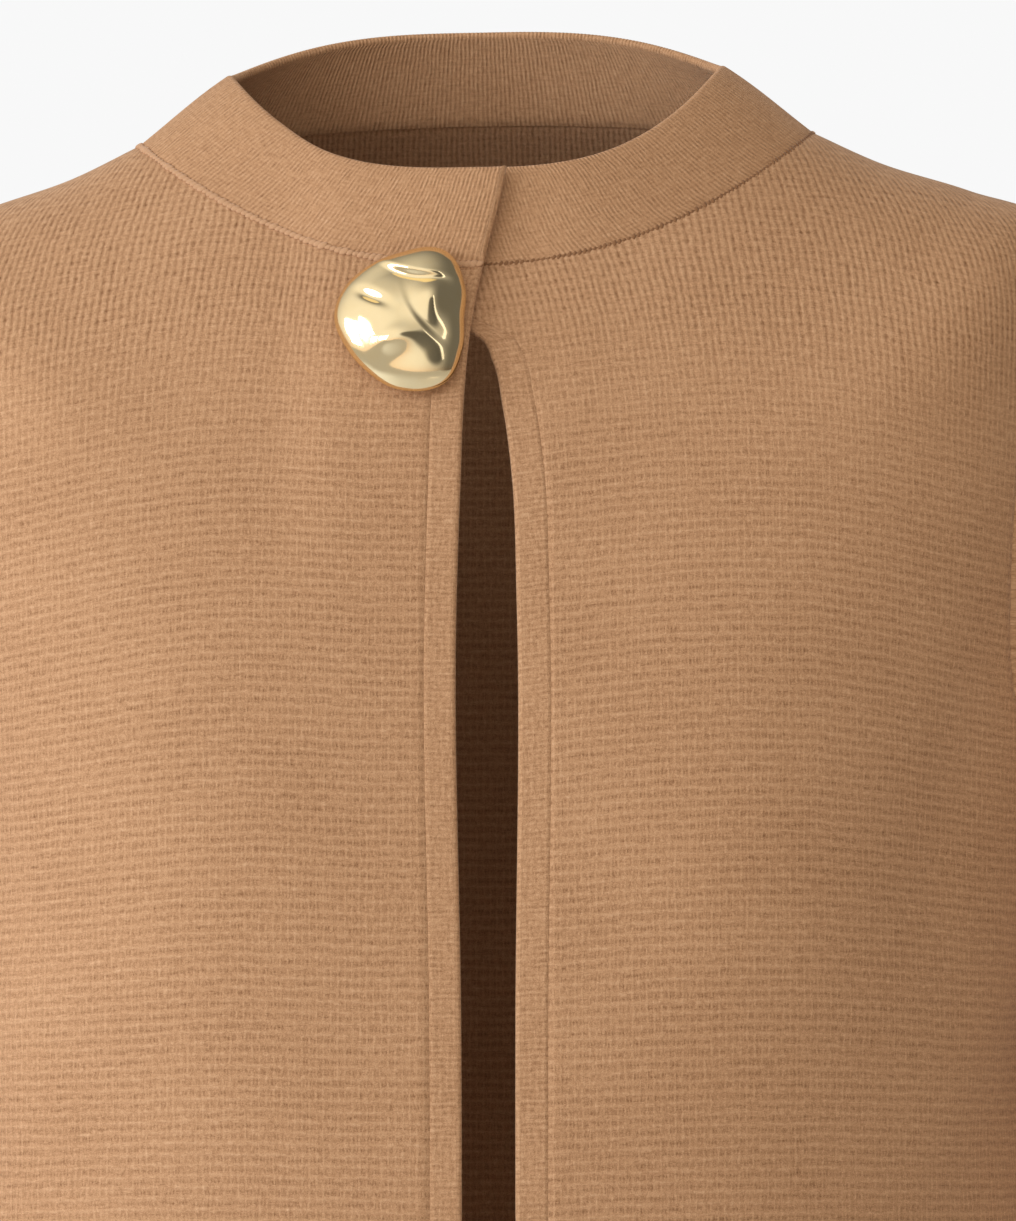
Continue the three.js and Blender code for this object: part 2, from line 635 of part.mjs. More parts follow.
function buttonOutline(angle) {
  const count = BUTTON_RADII.length;
  const place = (((angle % 360) + 360) % 360) / (360 / count);
  const i = Math.floor(place);
  const t = place - i;
  const r = (k) => BUTTON_RADII[(i + k + count) % count];
  const bend = 2 * r(-1) - 5 * r(0) + 4 * r(1) - r(2);
  const twist = -r(-1) + 3 * r(0) - 3 * r(1) + r(2);
  return r(0) + 0.5 * t * (r(1) - r(-1) + t * (bend + t * twist));
}

// The height of the pebble's face over its back, at a share of the way out to its edge.
function buttonFace(share, x, z) {
  const dome = BUTTON_CROWN * Math.sqrt(1 - share ** BUTTON_FULLNESS);
  const dent = BUTTON_DENTS.reduce((sum, d) => {
    const a = radians(d.turn);
    const along = (x - d.x) * Math.cos(a) + (z - d.z) * Math.sin(a);
    const across = (z - d.z) * Math.cos(a) - (x - d.x) * Math.sin(a);
    return sum + d.depth * bell(along, 0, d.long) * bell(across, 0, d.wide);
  }, 0);
  return BUTTON_RIM + dome - dent * smooth(0, BUTTON_DISH, 1 - share);
}

// The pebble lies on the XZ plane of its own frame, with its face towards -Y.
function buildPebble() {
  const angles = steps(0, 360, BUTTON_STEPS).slice(0, -1);
  const rings = BUTTON_BACK.map(({ share, height }) =>
    angles.map((a) => [share * buttonOutline(a), a, height]),
  );
  for (const share of [...BUTTON_SHELLS].reverse().slice(0, -1)) {
    rings.push(
      angles.map((a) => {
        const r = share * buttonOutline(a);
        const [x, z] = [r * Math.cos(radians(a)), r * Math.sin(radians(a))];
        return [r, a, buttonFace(share, x, z)];
      }),
    );
  }
  const points = [0, 0, 0, 0, -buttonFace(0, 0, 0), 0];
  for (const ring of rings) {
    for (const [r, a, height] of ring) {
      points.push(r * Math.cos(radians(a)), -height, r * Math.sin(radians(a)));
    }
  }
  const at = (i, j) => 2 + i * BUTTON_STEPS + (j % BUTTON_STEPS);
  const faces = [];
  for (let j = 0; j < BUTTON_STEPS; j += 1) {
    faces.push(0, at(0, j + 1), at(0, j));
    for (let i = 0; i < rings.length - 1; i += 1) {
      faces.push(at(i, j), at(i, j + 1), at(i + 1, j + 1), at(i, j), at(i + 1, j + 1), at(i + 1, j));
    }
    faces.push(1, at(rings.length - 1, j), at(rings.length - 1, j + 1));
  }
  const geometry = new THREE.BufferGeometry();
  geometry.setAttribute("position", new THREE.BufferAttribute(new Float32Array(points), 3));
  geometry.setIndex(faces);
  return geometry;
}

// The seat of the button: the place on the left front's outer face with its x and z.
function seatPlace() {
  const place = { angle: 0, run: 0 };
  const tries = 40;
  const turnPerMm = 0.8;
  for (let i = 0; i < tries; i += 1) {
    const p = bodyPoint(place.angle, place.run, "left");
    place.run = Math.max(0, place.run + p.z - BUTTON_SEAT.z);
    place.angle += (BUTTON_SEAT.x - p.x) * turnPerMm;
  }
  return place;
}

const seat = seatPlace();
const fastening = new THREE.Group();
fastening.position.copy(bodyPoint(seat.angle, seat.run, "left"));
fastening.rotation.x = radians(-BUTTON_LEAN);
fastening.updateMatrixWorld(true);
coat.add(fastening);

function buildButton() {
  const pebble = buildPebble();
  pebble.translate(BUTTON_OFFSET.across, -BUTTON_LIFT, BUTTON_OFFSET.up);
  const { ring, wire, sunk } = SHANK_LOOP;
  const loop = new THREE.TorusGeometry(ring, wire, WIRE_SIDES, ROUND_STEPS);
  loop.translate(0, -(BUTTON_LIFT + sunk - ring), 0);
  return geometryOf(solidOf(pebble).add(solidOf(loop)));
}

function buildThread() {
  const { radius, thick } = THREAD_PAD;
  const pad = new THREE.CylinderGeometry(radius, radius, thick, ROUND_STEPS);
  pad.translate(0, -(SEAM + thick / 2), 0);
  const { ring, wire } = THREAD_LOOP;
  const loop = new THREE.TorusGeometry(ring, wire, WIRE_SIDES, ROUND_STEPS);
  loop.rotateY(Math.PI / 2);
  loop.translate(0, -(SEAM + thick / 2 + ring), 0);
  return geometryOf(solidOf(pad).add(solidOf(loop)));
}

// The buttonhole is a slit across the right front that the shank holds open in the middle.
function cutButtonhole(front) {
  const { long, wide, across } = BUTTONHOLE;
  const bow = ((long / 2) ** 2 + (wide / 2) ** 2) / wide;
  const half = Math.asin(long / 2 / bow);
  const eye = new THREE.Shape();
  eye.absarc(0, wide / 2 - bow, bow, Math.PI / 2 - half, Math.PI / 2 + half, false);
  eye.absarc(0, bow - wide / 2, bow, -Math.PI / 2 - half, -Math.PI / 2 + half, false);
  const cutter = new THREE.ExtrudeGeometry(eye, {
    depth: HOLE_CUT.deep,
    bevelEnabled: false,
    curveSegments: ROUND_STEPS / 2,
  });
  cutter.rotateX(Math.PI / 2);
  cutter.translate(across, HOLE_CUT.deep - HOLE_CUT.front, 0);
  cutter.applyMatrix4(fastening.matrixWorld);
  return geometryOf(solidOf(front).subtract(solidOf(cutter)));
}

// ---------------------------------------------------------------- the coat

addCloth("front_right", cutButtonhole(buildFront("right")));
addCloth("front_left", buildFront("left"));
addCloth("back", buildBack());
addCloth("sleeve_right", buildSleeve("right"));
addCloth("sleeve_left", buildSleeve("left"));
addCloth("neckband", buildCollar());
addCloth("front_band_right", buildBand("right"));
addCloth("front_band_left", buildBand("left"));
add("button", buildButton(), COLOURS.gold, 1, 0.15, fastening);
add("button_thread", buildThread(), COLOURS.thread, 0, 0.9, fastening);

export default coat;
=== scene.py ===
"""A camel knit coat, worn, with one large pebble button at the neck.

Metres in the scene; the coat's own sizes are in millimetres. +X is the wearer's left, -Y is in
front of the wearer and +Z is up. The origin is the middle of the neck seam. A place on the body has
an angle, 0 in front and 90 at the wearer's left, and a run, the distance down the cloth from the
neck seam.
"""

import logging
import math
from collections.abc import Callable, Mapping, Sequence
from dataclasses import dataclass, field
from enum import Enum
from functools import cache

import bpy
import numpy as np
import numpy.typing as npt
from mathutils import Euler, Matrix, Vector


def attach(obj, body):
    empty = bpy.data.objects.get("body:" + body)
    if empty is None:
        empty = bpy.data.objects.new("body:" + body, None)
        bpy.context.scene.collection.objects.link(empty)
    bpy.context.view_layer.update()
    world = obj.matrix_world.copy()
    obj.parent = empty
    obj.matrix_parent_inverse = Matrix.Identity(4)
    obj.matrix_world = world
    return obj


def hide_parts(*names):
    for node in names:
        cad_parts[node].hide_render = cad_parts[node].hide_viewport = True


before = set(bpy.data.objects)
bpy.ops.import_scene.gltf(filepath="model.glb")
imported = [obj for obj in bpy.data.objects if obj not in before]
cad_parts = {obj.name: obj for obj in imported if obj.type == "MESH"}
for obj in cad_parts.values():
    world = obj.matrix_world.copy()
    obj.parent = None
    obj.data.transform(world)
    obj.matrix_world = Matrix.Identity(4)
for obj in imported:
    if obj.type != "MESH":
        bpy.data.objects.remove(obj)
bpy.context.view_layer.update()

Array = npt.NDArray[np.float64]
Colour = tuple[float, float, float]

MM = 0.001
ROOT = "root"
UV_NAME = "cut"
RIB_NAME = "rib"
OUT_NAME = "out"
LOG = logging.getLogger("knit_coat")


# ---------------------------------------------------------------- small maths


def smooth(start: Array | float, end: Array | float, value: Array) -> Array:
    """Ease from 0 at start to 1 at end."""
    t = np.clip((value - start) / (end - start), 0.0, 1.0)
    return t * t * (3 - 2 * t)


def bell(value: Array, middle: float, width: float) -> Array:
    """Give a soft hump that is 1 at its middle."""
    return np.exp(-(((value - middle) / width) ** 2))


def turn_to(start: float, end: Array) -> Array:
    """Give the shorter way round from one angle to another, in degrees."""
    return (((end - start) % 360) + 540) % 360 - 180


def unit(vectors: Array) -> Array:
    """Scale vectors on the last axis to length 1."""
    return vectors / np.maximum(np.linalg.norm(vectors, axis=-1, keepdims=True), 1e-12)


def cubic(t: Array) -> tuple[Array, Array, Array, Array]:
    """Give a cubic's weights for its start, the slope there, its end and the slope there."""
    t2, t3 = t * t, t * t * t
    return 2 * t3 - 3 * t2 + 1, t3 - 2 * t2 + t, 3 * t2 - 2 * t3, t3 - t2


def through(places: Array, values: Array, at: Array) -> Array:
    """Read a smooth curve through a table.

    Args:
        places: Where the table's values stand, rising.
        values: The table's values.
        at: The places to read.

    Returns:
        The curve's value at each place.
    """
    step = np.diff(places)
    pitch = np.diff(values) / step
    slope = np.empty(len(places))
    slope[0], slope[-1] = pitch[0], pitch[-1]
    slope[1:-1] = (pitch[:-1] * step[1:] + pitch[1:] * step[:-1]) / (step[:-1] + step[1:])
    i = np.clip(np.searchsorted(places, at, side="left") - 1, 0, len(places) - 2)
    start, leave, end, arrive = cubic(np.clip((at - places[i]) / step[i], 0.0, 1.0))
    return (
        start * values[i]
        + leave * step[i] * slope[i]
        + end * values[i + 1]
        + arrive * step[i] * slope[i + 1]
    )


class Layer(Enum):
    """The part of the body that a place of the cloth is on."""

    RIGHT = "right"
    LEFT = "left"
    BACK = "back"


class Side(Enum):
    """A side of the wearer, with the sign of x there."""

    RIGHT = -1
    LEFT = 1

    @property
    def layer(self) -> Layer:
        """The front on this side."""
        return Layer.RIGHT if self is Side.RIGHT else Layer.LEFT

    @property
    def word(self) -> str:
        """The side's name in a piece's name."""
        return self.name.lower()


# ---------------------------------------------------------------- the worn form


@dataclass(frozen=True)
class Crease:
    """A soft trough between two places, each an angle and a height."""

    start: tuple[float, float]
    end: tuple[float, float]
    width: float
    depth: float


@dataclass(frozen=True)
class WornForm:
    """The outer face of the body and the neckband, as the wearer fills them. Millimetres."""

    shoulder_tip: float = 92
    underarm: float = 280
    hem: float = 860
    hem_height: float = -840
    # run, side, front, back, zFront, zSide, zBack, full, dip
    rings: tuple[tuple[float, ...], ...] = (
        (0, 110, 70, 58, -41, 2, 10, 2, 2.15),
        (25, 131, 82, 75, -64, -8, -8, 2.05, 2.1),
        (60, 161, 96, 92, -97, -18, -38, 2.1, 2.1),
        (92, 187, 107, 104, -128, -29, -72, 2.15, 2.1),
        (130, 192, 117, 112, -161, -66, -110, 2.2, 2),
        (190, 189, 130, 118, -210, -140, -168, 2.25, 2),
        (280, 184, 143, 122, -268, -250, -254, 2.3, 2),
        (440, 183, 149, 118, -420, -416, -416, 2.3, 2),
        (640, 193, 151, 124, -614, -614, -614, 2.25, 2),
        (860, 209, 156, 134, -830, -836, -838, 2.2, 2),
    )
    collar_height: float = 34
    collar_bow: float = 1.6
    collar_top: tuple[float, ...] = (80, 60, 48, -9, 25, 40, 2, 3)
    # z, x of the right (over) edge, x of the left (under) edge
    edges: tuple[tuple[float, float, float], ...] = (
        (-840, -8, 18),
        (-540, -5, 14),
        (-280, -4.2, 12.6),
        (-150, -5.8, 13),
        (-108, -4.4, 11.4),
        (-86, -3.6, 8.6),
        (-72, -2.6, 5.6),
        (-64, -1.8, 1),
        (-57, -0.8, -14),
        (-50, 0.4, -30),
        (-41, 2.4, -34),
        (-9, 9.5, -36),
        (40, 11, -37),
    )
    # angle, spread, top, rise
    flutes: tuple[tuple[float, float, float, float], ...] = (
        (-24, 11, -300, 6),
        (-47, 10, -250, -7),
        (-70, 12, -330, 9),
        (21, 9, -340, 5),
        (44, 11, -240, -8),
        (66, 10, -360, 8),
        (118, 10, -300, -7),
        (141, 12, -210, 9),
        (166, 11, -260, -8),
        (193, 12, -330, 7),
        (219, 11, -230, 9),
        (243, 9, -300, -8),
    )
    creases: tuple[Crease, ...] = (
        Crease((66, -176), (56, -236), 20, 3),
        Crease((-66, -182), (-58, -246), 20, 3),
        Crease((80, -280), (62, -336), 24, 3),
        Crease((-82, -276), (-66, -326), 22, 4),
        Crease((116, -160), (128, -240), 20, 4),
        Crease((245, -156), (231, -232), 22, 4),
    )
    arm_scoop: float = 20
    over_lift: float = 2.8
    under_tuck: float = 2.4
    # x or z, from where a buttoned layer lies plain to where it is wholly lifted or tucked
    over_x: tuple[float, float] = (-64, -42)
    over_z: tuple[float, float] = (-160, -88)
    under_x: tuple[float, float] = (34, 10)
    under_z: tuple[float, float] = (-104, -66)
    bust_rise: float = 8
    # middle and spread
    bust_x: tuple[float, float] = (88, 50)
    bust_z: tuple[float, float] = (-240, 92)
    shoulder_tilt: float = 0.02
    tilt_z: tuple[float, float] = (-260, -60)
    find_steps: int = 60
    find_pace: float = 0.8

    def ring_at(self, run: Array) -> list[Array]:
        """Read the ring's eight sizes at each run."""
        table = np.array(self.rings, float).T
        return [through(table[0], column, run) for column in table[1:]]

    def edge_x(self, side: Side, z: Array) -> Array:
        """Read where a front's edge runs at each height."""
        table = np.array(self.edges, float).T
        return through(table[0], table[1 if side is Side.RIGHT else 2], z)

    @staticmethod
    def ring_point(ring: Sequence[Array], angle: Array, swell: Array | float = 0.0) -> Array:
        """Place points on a ring.

        Args:
            ring: The ring's eight sizes.
            angle: Degrees round the body.
            swell: How far the points stand out from the ring.

        Returns:
            Points, with x, y and z on the last axis.
        """
        side, front, back, z_front, z_side, z_back, full, dip = ring
        a = np.radians(angle)
        s, c = np.sin(a), np.cos(a)
        depth = np.where(c > 0, front, back)
        reach = ((np.abs(c) / depth) ** full + (np.abs(s) / side) ** full) ** (-1 / full)
        fall = 1 - np.minimum(1, np.abs(reach * s) / side) ** dip
        z = z_side + (np.where(c > 0, z_front, z_back) - z_side) * fall
        return np.stack([(reach + swell) * s, -(reach + swell) * c, z + 0 * s], axis=-1)

    def overlap(self, layer: Layer | None, x: Array, z: Array) -> Array:
        """Give how far the buttoned layers stand out or lie in near the neck.

        Args:
            layer: The part of the body, or None for the bare form.
            x: Towards the wearer's left.
            z: Upwards.

        Returns:
            Millimetres outwards, below 0 for inwards.
        """
        if layer is Layer.RIGHT:
            return self.over_lift * smooth(*self.over_x, x) * smooth(*self.over_z, z)
        if layer is Layer.LEFT:
            return -self.under_tuck * smooth(*self.under_x, x) * smooth(*self.under_z, z)
        return np.zeros_like(x)

    def swelling(self, bare: Array, angle: Array) -> Array:
        """Sum the bust, flutes and creases at bare ring points.

        Args:
            bare: Points on the rings.
            angle: Their angles.

        Returns:
            How far each stands out.
        """
        x, y, z = bare[..., 0], bare[..., 1], bare[..., 2]
        swell = self.bust_rise * (y < 0) * bell(np.abs(x), *self.bust_x) * bell(z, *self.bust_z)
        for middle, spread, top, rise in self.flutes:
            hump = bell(turn_to(middle, angle), 0, spread)
            swell += rise * smooth(top, self.hem_height, z) * hump
        per_degree = np.radians(np.hypot(x, y))
        for crease in self.creases:
            px, pz = turn_to(crease.start[0], angle) * per_degree, z - crease.start[1]
            dx = turn_to(crease.start[0], np.array(crease.end[0])) * per_degree
            dz = crease.end[1] - crease.start[1]
            along = np.clip((px * dx + pz * dz) / (dx**2 + dz**2), 0, 1)
            off = np.hypot(px - along * dx, pz - along * dz)
            swell -= crease.depth * bell(off, 0, crease.width)
        return swell

    def point(self, angle: Array, run: Array, layer: Layer | None) -> Array:
        """Place points on the body's outer face.

        Args:
            angle: Degrees round the body.
            run: Runs down the cloth.
            layer: The part of the body, or None for the bare form.

        Returns:
            Points, with x, y and z on the last axis.
        """
        angle, run = np.broadcast_arrays(np.asarray(angle, float), np.asarray(run, float))
        ring = self.ring_at(run)
        bare = self.ring_point(ring, angle)
        swell = self.swelling(bare, angle) + self.overlap(layer, bare[..., 0], bare[..., 2])
        made = self.ring_point(ring, angle, swell)
        made[..., 2] += self.shoulder_tilt * made[..., 0] * smooth(*self.tilt_z, made[..., 2])
        return made

    def collar_point(self, angle: Array, rise: Array, layer: Layer | None) -> Array:
        """Place points on the neckband's outer face; rise is 0 at the seam and 1 at the top.

        Args:
            angle: Degrees round the neck.
            rise: Shares of the band's height.
            layer: The part of the body, or None for the bare form.

        Returns:
            Points, with x, y and z on the last axis.
        """
        angle, rise = np.broadcast_arrays(np.asarray(angle, float), np.asarray(rise, float))
        low = self.point(angle, np.zeros_like(angle), layer)
        ring = [np.full_like(angle, size) for size in self.collar_top]
        top = self.ring_point(ring, angle)
        bow = self.collar_bow * 4 * rise * (1 - rise)
        swell = self.overlap(layer, top[..., 0], top[..., 2]) + bow
        high = self.ring_point(ring, angle, swell)
        high[..., 2] += self.shoulder_tilt * high[..., 0]
        return low + (high - low) * rise[..., None]

    def place(self, angle: Array, run: Array, layer: Layer | None) -> Array:
        """Place points on the cloth; a run below 0 is on the neckband.

        Args:
            angle: Degrees round the body.
            run: Runs down the cloth.
            layer: The part of the body, or None for the bare form.

        Returns:
            Points, with x, y and z on the last axis.
        """
        angle, run = np.broadcast_arrays(np.asarray(angle, float), np.asarray(run, float))
        body = self.point(angle, np.maximum(run, 0), layer)
        collar = self.collar_point(angle, np.clip(-run / self.collar_height, 0, 1), layer)
        return np.where((run < 0)[..., None], collar, body)

    def normal(self, angle: Array, run: Array, layer: Layer | None) -> Array:
        """Give the outward direction of the cloth, shared by the pieces that meet at a seam.

        Args:
            angle: Degrees round the body.
            run: Runs down the cloth.
            layer: The part of the body, or None for the bare form.

        Returns:
            Unit directions, with x, y and z on the last axis.
        """
        turn, step = 0.2, 0.5
        across = self.place(angle + turn, run, layer) - self.place(angle - turn, run, layer)
        below = self.place(angle, np.minimum(self.hem, run + step), layer)
        above = self.place(angle, np.maximum(-self.collar_height, run - step), layer)
        return unit(np.cross(below - above, across))

    def find(self, x: Array, z: Array, layer: Layer) -> tuple[Array, Array]:
        """Find the angles and runs of the places of the front that lie at x and z.

        Args:
            x: Towards the wearer's left.
            z: Upwards.
            layer: The front.

        Returns:
            Angles and runs.
        """
        x, z = np.broadcast_arrays(np.asarray(x, float), np.asarray(z, float))
        angle, run = np.zeros(x.shape), np.zeros(x.shape)
        for _ in range(self.find_steps):
            here = self.point(angle, run, layer)
            run = np.maximum(0, run + here[..., 2] - z)
            angle = angle + (x - here[..., 0]) * self.find_pace
        return angle, run

    def edge_angle(self, side: Side, run: Array, inset: float) -> Array:
        """Give the angle at which a front's edge, moved in by a width, crosses each ring.

        Args:
            side: The front's side.
            run: Runs down the cloth.
            inset: The width, in millimetres.

        Returns:
            The angles, in degrees.
        """
        ring = self.ring_at(run)
        x = self.edge_x(side, ring[3]) + side.value * inset
        return np.degrees(np.arcsin(x / ring[1]))

    def scoop(self, run: Array) -> Array:
        """Give the degrees that the armhole has cut in from the side."""
        share = np.clip((run - self.shoulder_tip) / (self.underarm - self.shoulder_tip), 0, 1)
        return self.arm_scoop * np.sqrt(np.maximum(0, np.sin(np.pi * share)))


@dataclass(frozen=True)
class CutMap:
    """Where each place of the worn cloth lies in the flat cut.

    Wales run down the cloth and lean in a little towards the neck. Rows of knitting sag towards the
    front edges and the sides, as the worn cloth hangs from the shoulders. Millimetres and degrees.
    """

    form: WornForm
    # distance round the cloth from its middle, how wide a wale is stretched there
    stretch: tuple[tuple[float, float], ...] = (
        (0, 1.0),
        (60, 1.0),
        (150, 1.16),
        (200, 1.12),
        (260, 1.0),
        (400, 1.0),
    )
    # x, how far a row has risen there, on each front
    sag_left: tuple[tuple[float, float], ...] = (
        (0, 0),
        (39, 4.8),
        (60, 6.8),
        (84, 7.8),
        (108, 7.0),
        (131, 3.6),
        (150, -0.8),
        (190, -10),
    )
    sag_right: tuple[tuple[float, float], ...] = (
        (-190, -19),
        (-150, -9.4),
        (-112, -2.0),
        (-90, 1.1),
        (-72, 2.0),
        (-33, 0),
        (0, 0),
    )
    sag_back: float = -0.0005
    # z, share of the sag
    sag_share: tuple[tuple[float, float], ...] = (
        (-600, 0.0),
        (-420, 0.2),
        (-300, 0.4),
        (-220, 0.75),
        (-170, 1.0),
        (40, 1.0),
    )
    lean: float = 8
    lean_heights: tuple[float, float] = (-130, -55)
    lean_fade: tuple[float, float] = (50, 140)
    lean_middle: float = 11
    lean_middle_heights: tuple[float, float] = (-75, -38)
    lean_middle_x: tuple[float, float] = (75, 35)
    lean_turn: float = 1.1
    back_middle: float = 60
    front_line: float = 30
    back_line: float = 150
    yoke_gather: float = 1.4
    rib_heights: tuple[float, float] = (-112, -42)
    rib_fall: float = 0.12

    def across(self, angle: Array, run: Array) -> Array:
        """Give the distance round the cloth from the middle of the front.

        Args:
            angle: Degrees, rows by columns.
            run: Runs, one for each row.

        Returns:
            Signed distances of the same shape as angle.
        """
        samples = np.arange(-180.0, 361.0)
        points = self.form.point(samples[None, :], run[:, None], None)
        steps = np.hypot(np.diff(points[..., 0]), np.diff(points[..., 1]))
        lengths = np.concatenate([np.zeros((len(run), 1)), np.cumsum(steps, axis=1)], axis=1)
        zero = lengths[:, [180]]
        return np.stack(
            [np.interp(angle[i], samples, lengths[i] - zero[i]) for i in range(len(run))]
        )

    def unstretched(self, across: Array) -> Array:
        """Turn distances round the worn cloth into distances across the flat cut.

        Args:
            across: Distances round the worn cloth, in millimetres.

        Returns:
            Distances across the flat cut.
        """
        table = np.array(self.stretch, float).T
        places = np.linspace(0, 400, 401)
        flat = np.concatenate([[0], np.cumsum(1 / np.interp(places[1:] - 0.5, *table))])
        return np.sign(across) * np.interp(np.abs(across), places, flat)

    def leaning(self, x: Array, z: Array, side: Side | None) -> Array:
        """Give how far the wales have leaned across by each height, away from the middle.

        Args:
            x: Towards the wearer's left.
            z: Upwards.
            side: The front's side, or None for the back.

        Returns:
            Distances in the flat cut.
        """
        heights = np.linspace(-160, 60, 221)
        plain = np.tan(np.radians(self.lean * smooth(*self.lean_heights, heights)))
        extra = np.tan(np.radians(self.lean_middle * smooth(*self.lean_middle_heights, heights)))
        fade = 1 - self.lean_turn * smooth(*self.lean_fade, np.abs(x))
        out = np.interp(z, heights, np.cumsum(plain)) * fade
        if side is Side.LEFT:
            out += np.interp(z, heights, np.cumsum(extra)) * smooth(*self.lean_middle_x, x)
        return out

    def depth_table(self, angle: float) -> tuple[Array, Array]:
        """Give heights down one line of the cloth, rising, and the cloth's length to each.

        Args:
            angle: Degrees round the body.

        Returns:
            The heights, and minus the length down to each.
        """
        runs = np.linspace(0, self.form.hem, 400)
        line = self.form.point(np.full_like(runs, angle), runs, None)
        steps = np.hypot(np.diff(line[:, 1]), np.diff(line[:, 2]))
        lengths = np.concatenate([[0], np.cumsum(steps)])
        return line[::-1, 2], -lengths[::-1]

    def down(self, points: Array, side: Side | None) -> Array:
        """Give each point's height in the flat cut, 0 near the neck seam; no side is the back.

        Args:
            points: The points.
            side: The front's side, or None for the back.

        Returns:
            Heights, falling below 0 down the cloth.
        """
        x, z = points[..., 0], points[..., 2]
        if side is None:
            rise = self.sag_back * x**2
        else:
            table = np.array(self.sag_left if side is Side.LEFT else self.sag_right, float).T
            rise = np.interp(x, *table)
        level = z - rise * np.interp(z, *np.array(self.sag_share, float).T)
        heights, lengths = self.depth_table(self.back_line if side is None else self.front_line)
        above = np.maximum(0, level - heights[-1])
        return np.interp(level, heights, lengths) + above * self.yoke_gather

    def body(self, points: Array, angle: Array, run: Array, layer: Layer) -> Array:
        """Lay points of the body flat.

        Args:
            points: The points, rows by columns.
            angle: Their angles.
            run: The run of each row.
            layer: The piece that they are on.

        Returns:
            Flat places in metres, u across and v up.
        """
        side = {Layer.LEFT: Side.LEFT, Layer.RIGHT: Side.RIGHT}.get(layer)
        x, z = points[..., 0], points[..., 2]
        u = self.across(angle, run)
        if side is None:
            u = self.across(np.full_like(angle[:, :1], 180.0), run) - u
            hand = np.clip(x / self.back_middle, -1, 1)
        else:
            hand = side.value
        u = self.unstretched(u) + hand * self.leaning(x, z, side)
        return np.stack([u, self.down(points, side)], axis=-1) * MM

    def rib_share(self, points: Array) -> Array:
        """Give how far the wales stand out as ribs: wholly at the neck, and hardly lower down.

        Args:
            points: The points.

        Returns:
            A share from 0 to 1 for each point.
        """
        x, z = points[..., 0], points[..., 2]
        low, high = self.rib_heights
        return smooth(low - self.rib_fall * np.abs(x), high - self.rib_fall * np.abs(x), z)


# ---------------------------------------------------------------- cloth walls


@dataclass
class Sheet:
    """A grid of cloth: rows from the top down, with outward normals and flat places."""

    points: Array
    normals: Array
    flat: Array
    closed: bool = False
    rib: Array | None = None

    def loops(self) -> list[tuple[Array, Array, Array]]:
        """Give the border's loops.

        Returns:
            Rows, columns and the side of each place, 0 top, 1 end, 2 foot and 3 start.
        """
        rows, cols = self.points.shape[:2]
        if self.closed:
            every = np.arange(cols)
            return [
                (np.zeros(cols, int), every, np.zeros(cols, int)),
                (np.full(cols, rows - 1), every[::-1], np.full(cols, 2)),
            ]
        top = [(0, j, 0) for j in range(cols - 1)]
        end = [(i, cols - 1, 1) for i in range(rows - 1)]
        foot = [(rows - 1, j, 2) for j in range(cols - 1, 0, -1)]
        start = [(i, 0, 3) for i in range(rows - 1, 0, -1)]
        i, j, side = np.array(top + end + foot + start).T
        return [(i, j, side)]

    def outward(self, i: Array, j: Array) -> tuple[Array, Array, Array]:
        """Give the outward directions at a border loop and the reach to the grid inside it.

        Args:
            i: The loop's rows.
            j: The loop's columns.

        Returns:
            Directions in space, flat distance for each millimetre outwards, and reaches.
        """
        rows, cols = self.points.shape[:2]
        here = self.points[i, j]
        along = np.roll(here, -1, axis=0) - np.roll(here, 1, axis=0)
        inner_i = np.clip(i, 1, rows - 2)
        inner_j = j if self.closed else np.clip(j, 1, cols - 2)
        inside = self.points[inner_i, inner_j]
        out = unit(np.cross(self.normals[i, j], along))
        out *= np.sign(np.sum(out * (here - inside), axis=1, keepdims=True))
        reach = np.linalg.norm(here - inside, axis=1, keepdims=True)
        flat_out = (self.flat[i, j] - self.flat[inner_i, inner_j]) / np.maximum(reach, 1e-9)
        return out, flat_out, np.abs(np.sum(out * (here - inside), axis=1))


@dataclass(frozen=True)
class Rim:
    """How a cloth wall's edges are rounded: the width of each, and how far it is let out.

    An edge takes up at most a share of the row of cloth beside it.
    """

    top: float = 0.5
    end: float = 0.3
    foot: float = 1.1
    start: float = 0.3
    let_out: tuple[float, float, float, float] = (0.15, 0.2, 0.0, 0.2)
    steps: int = 6
    most: float = 0.8

    @property
    def widths(self) -> Array:
        """The four widths in loop order."""
        return np.array([self.top, self.end, self.foot, self.start])


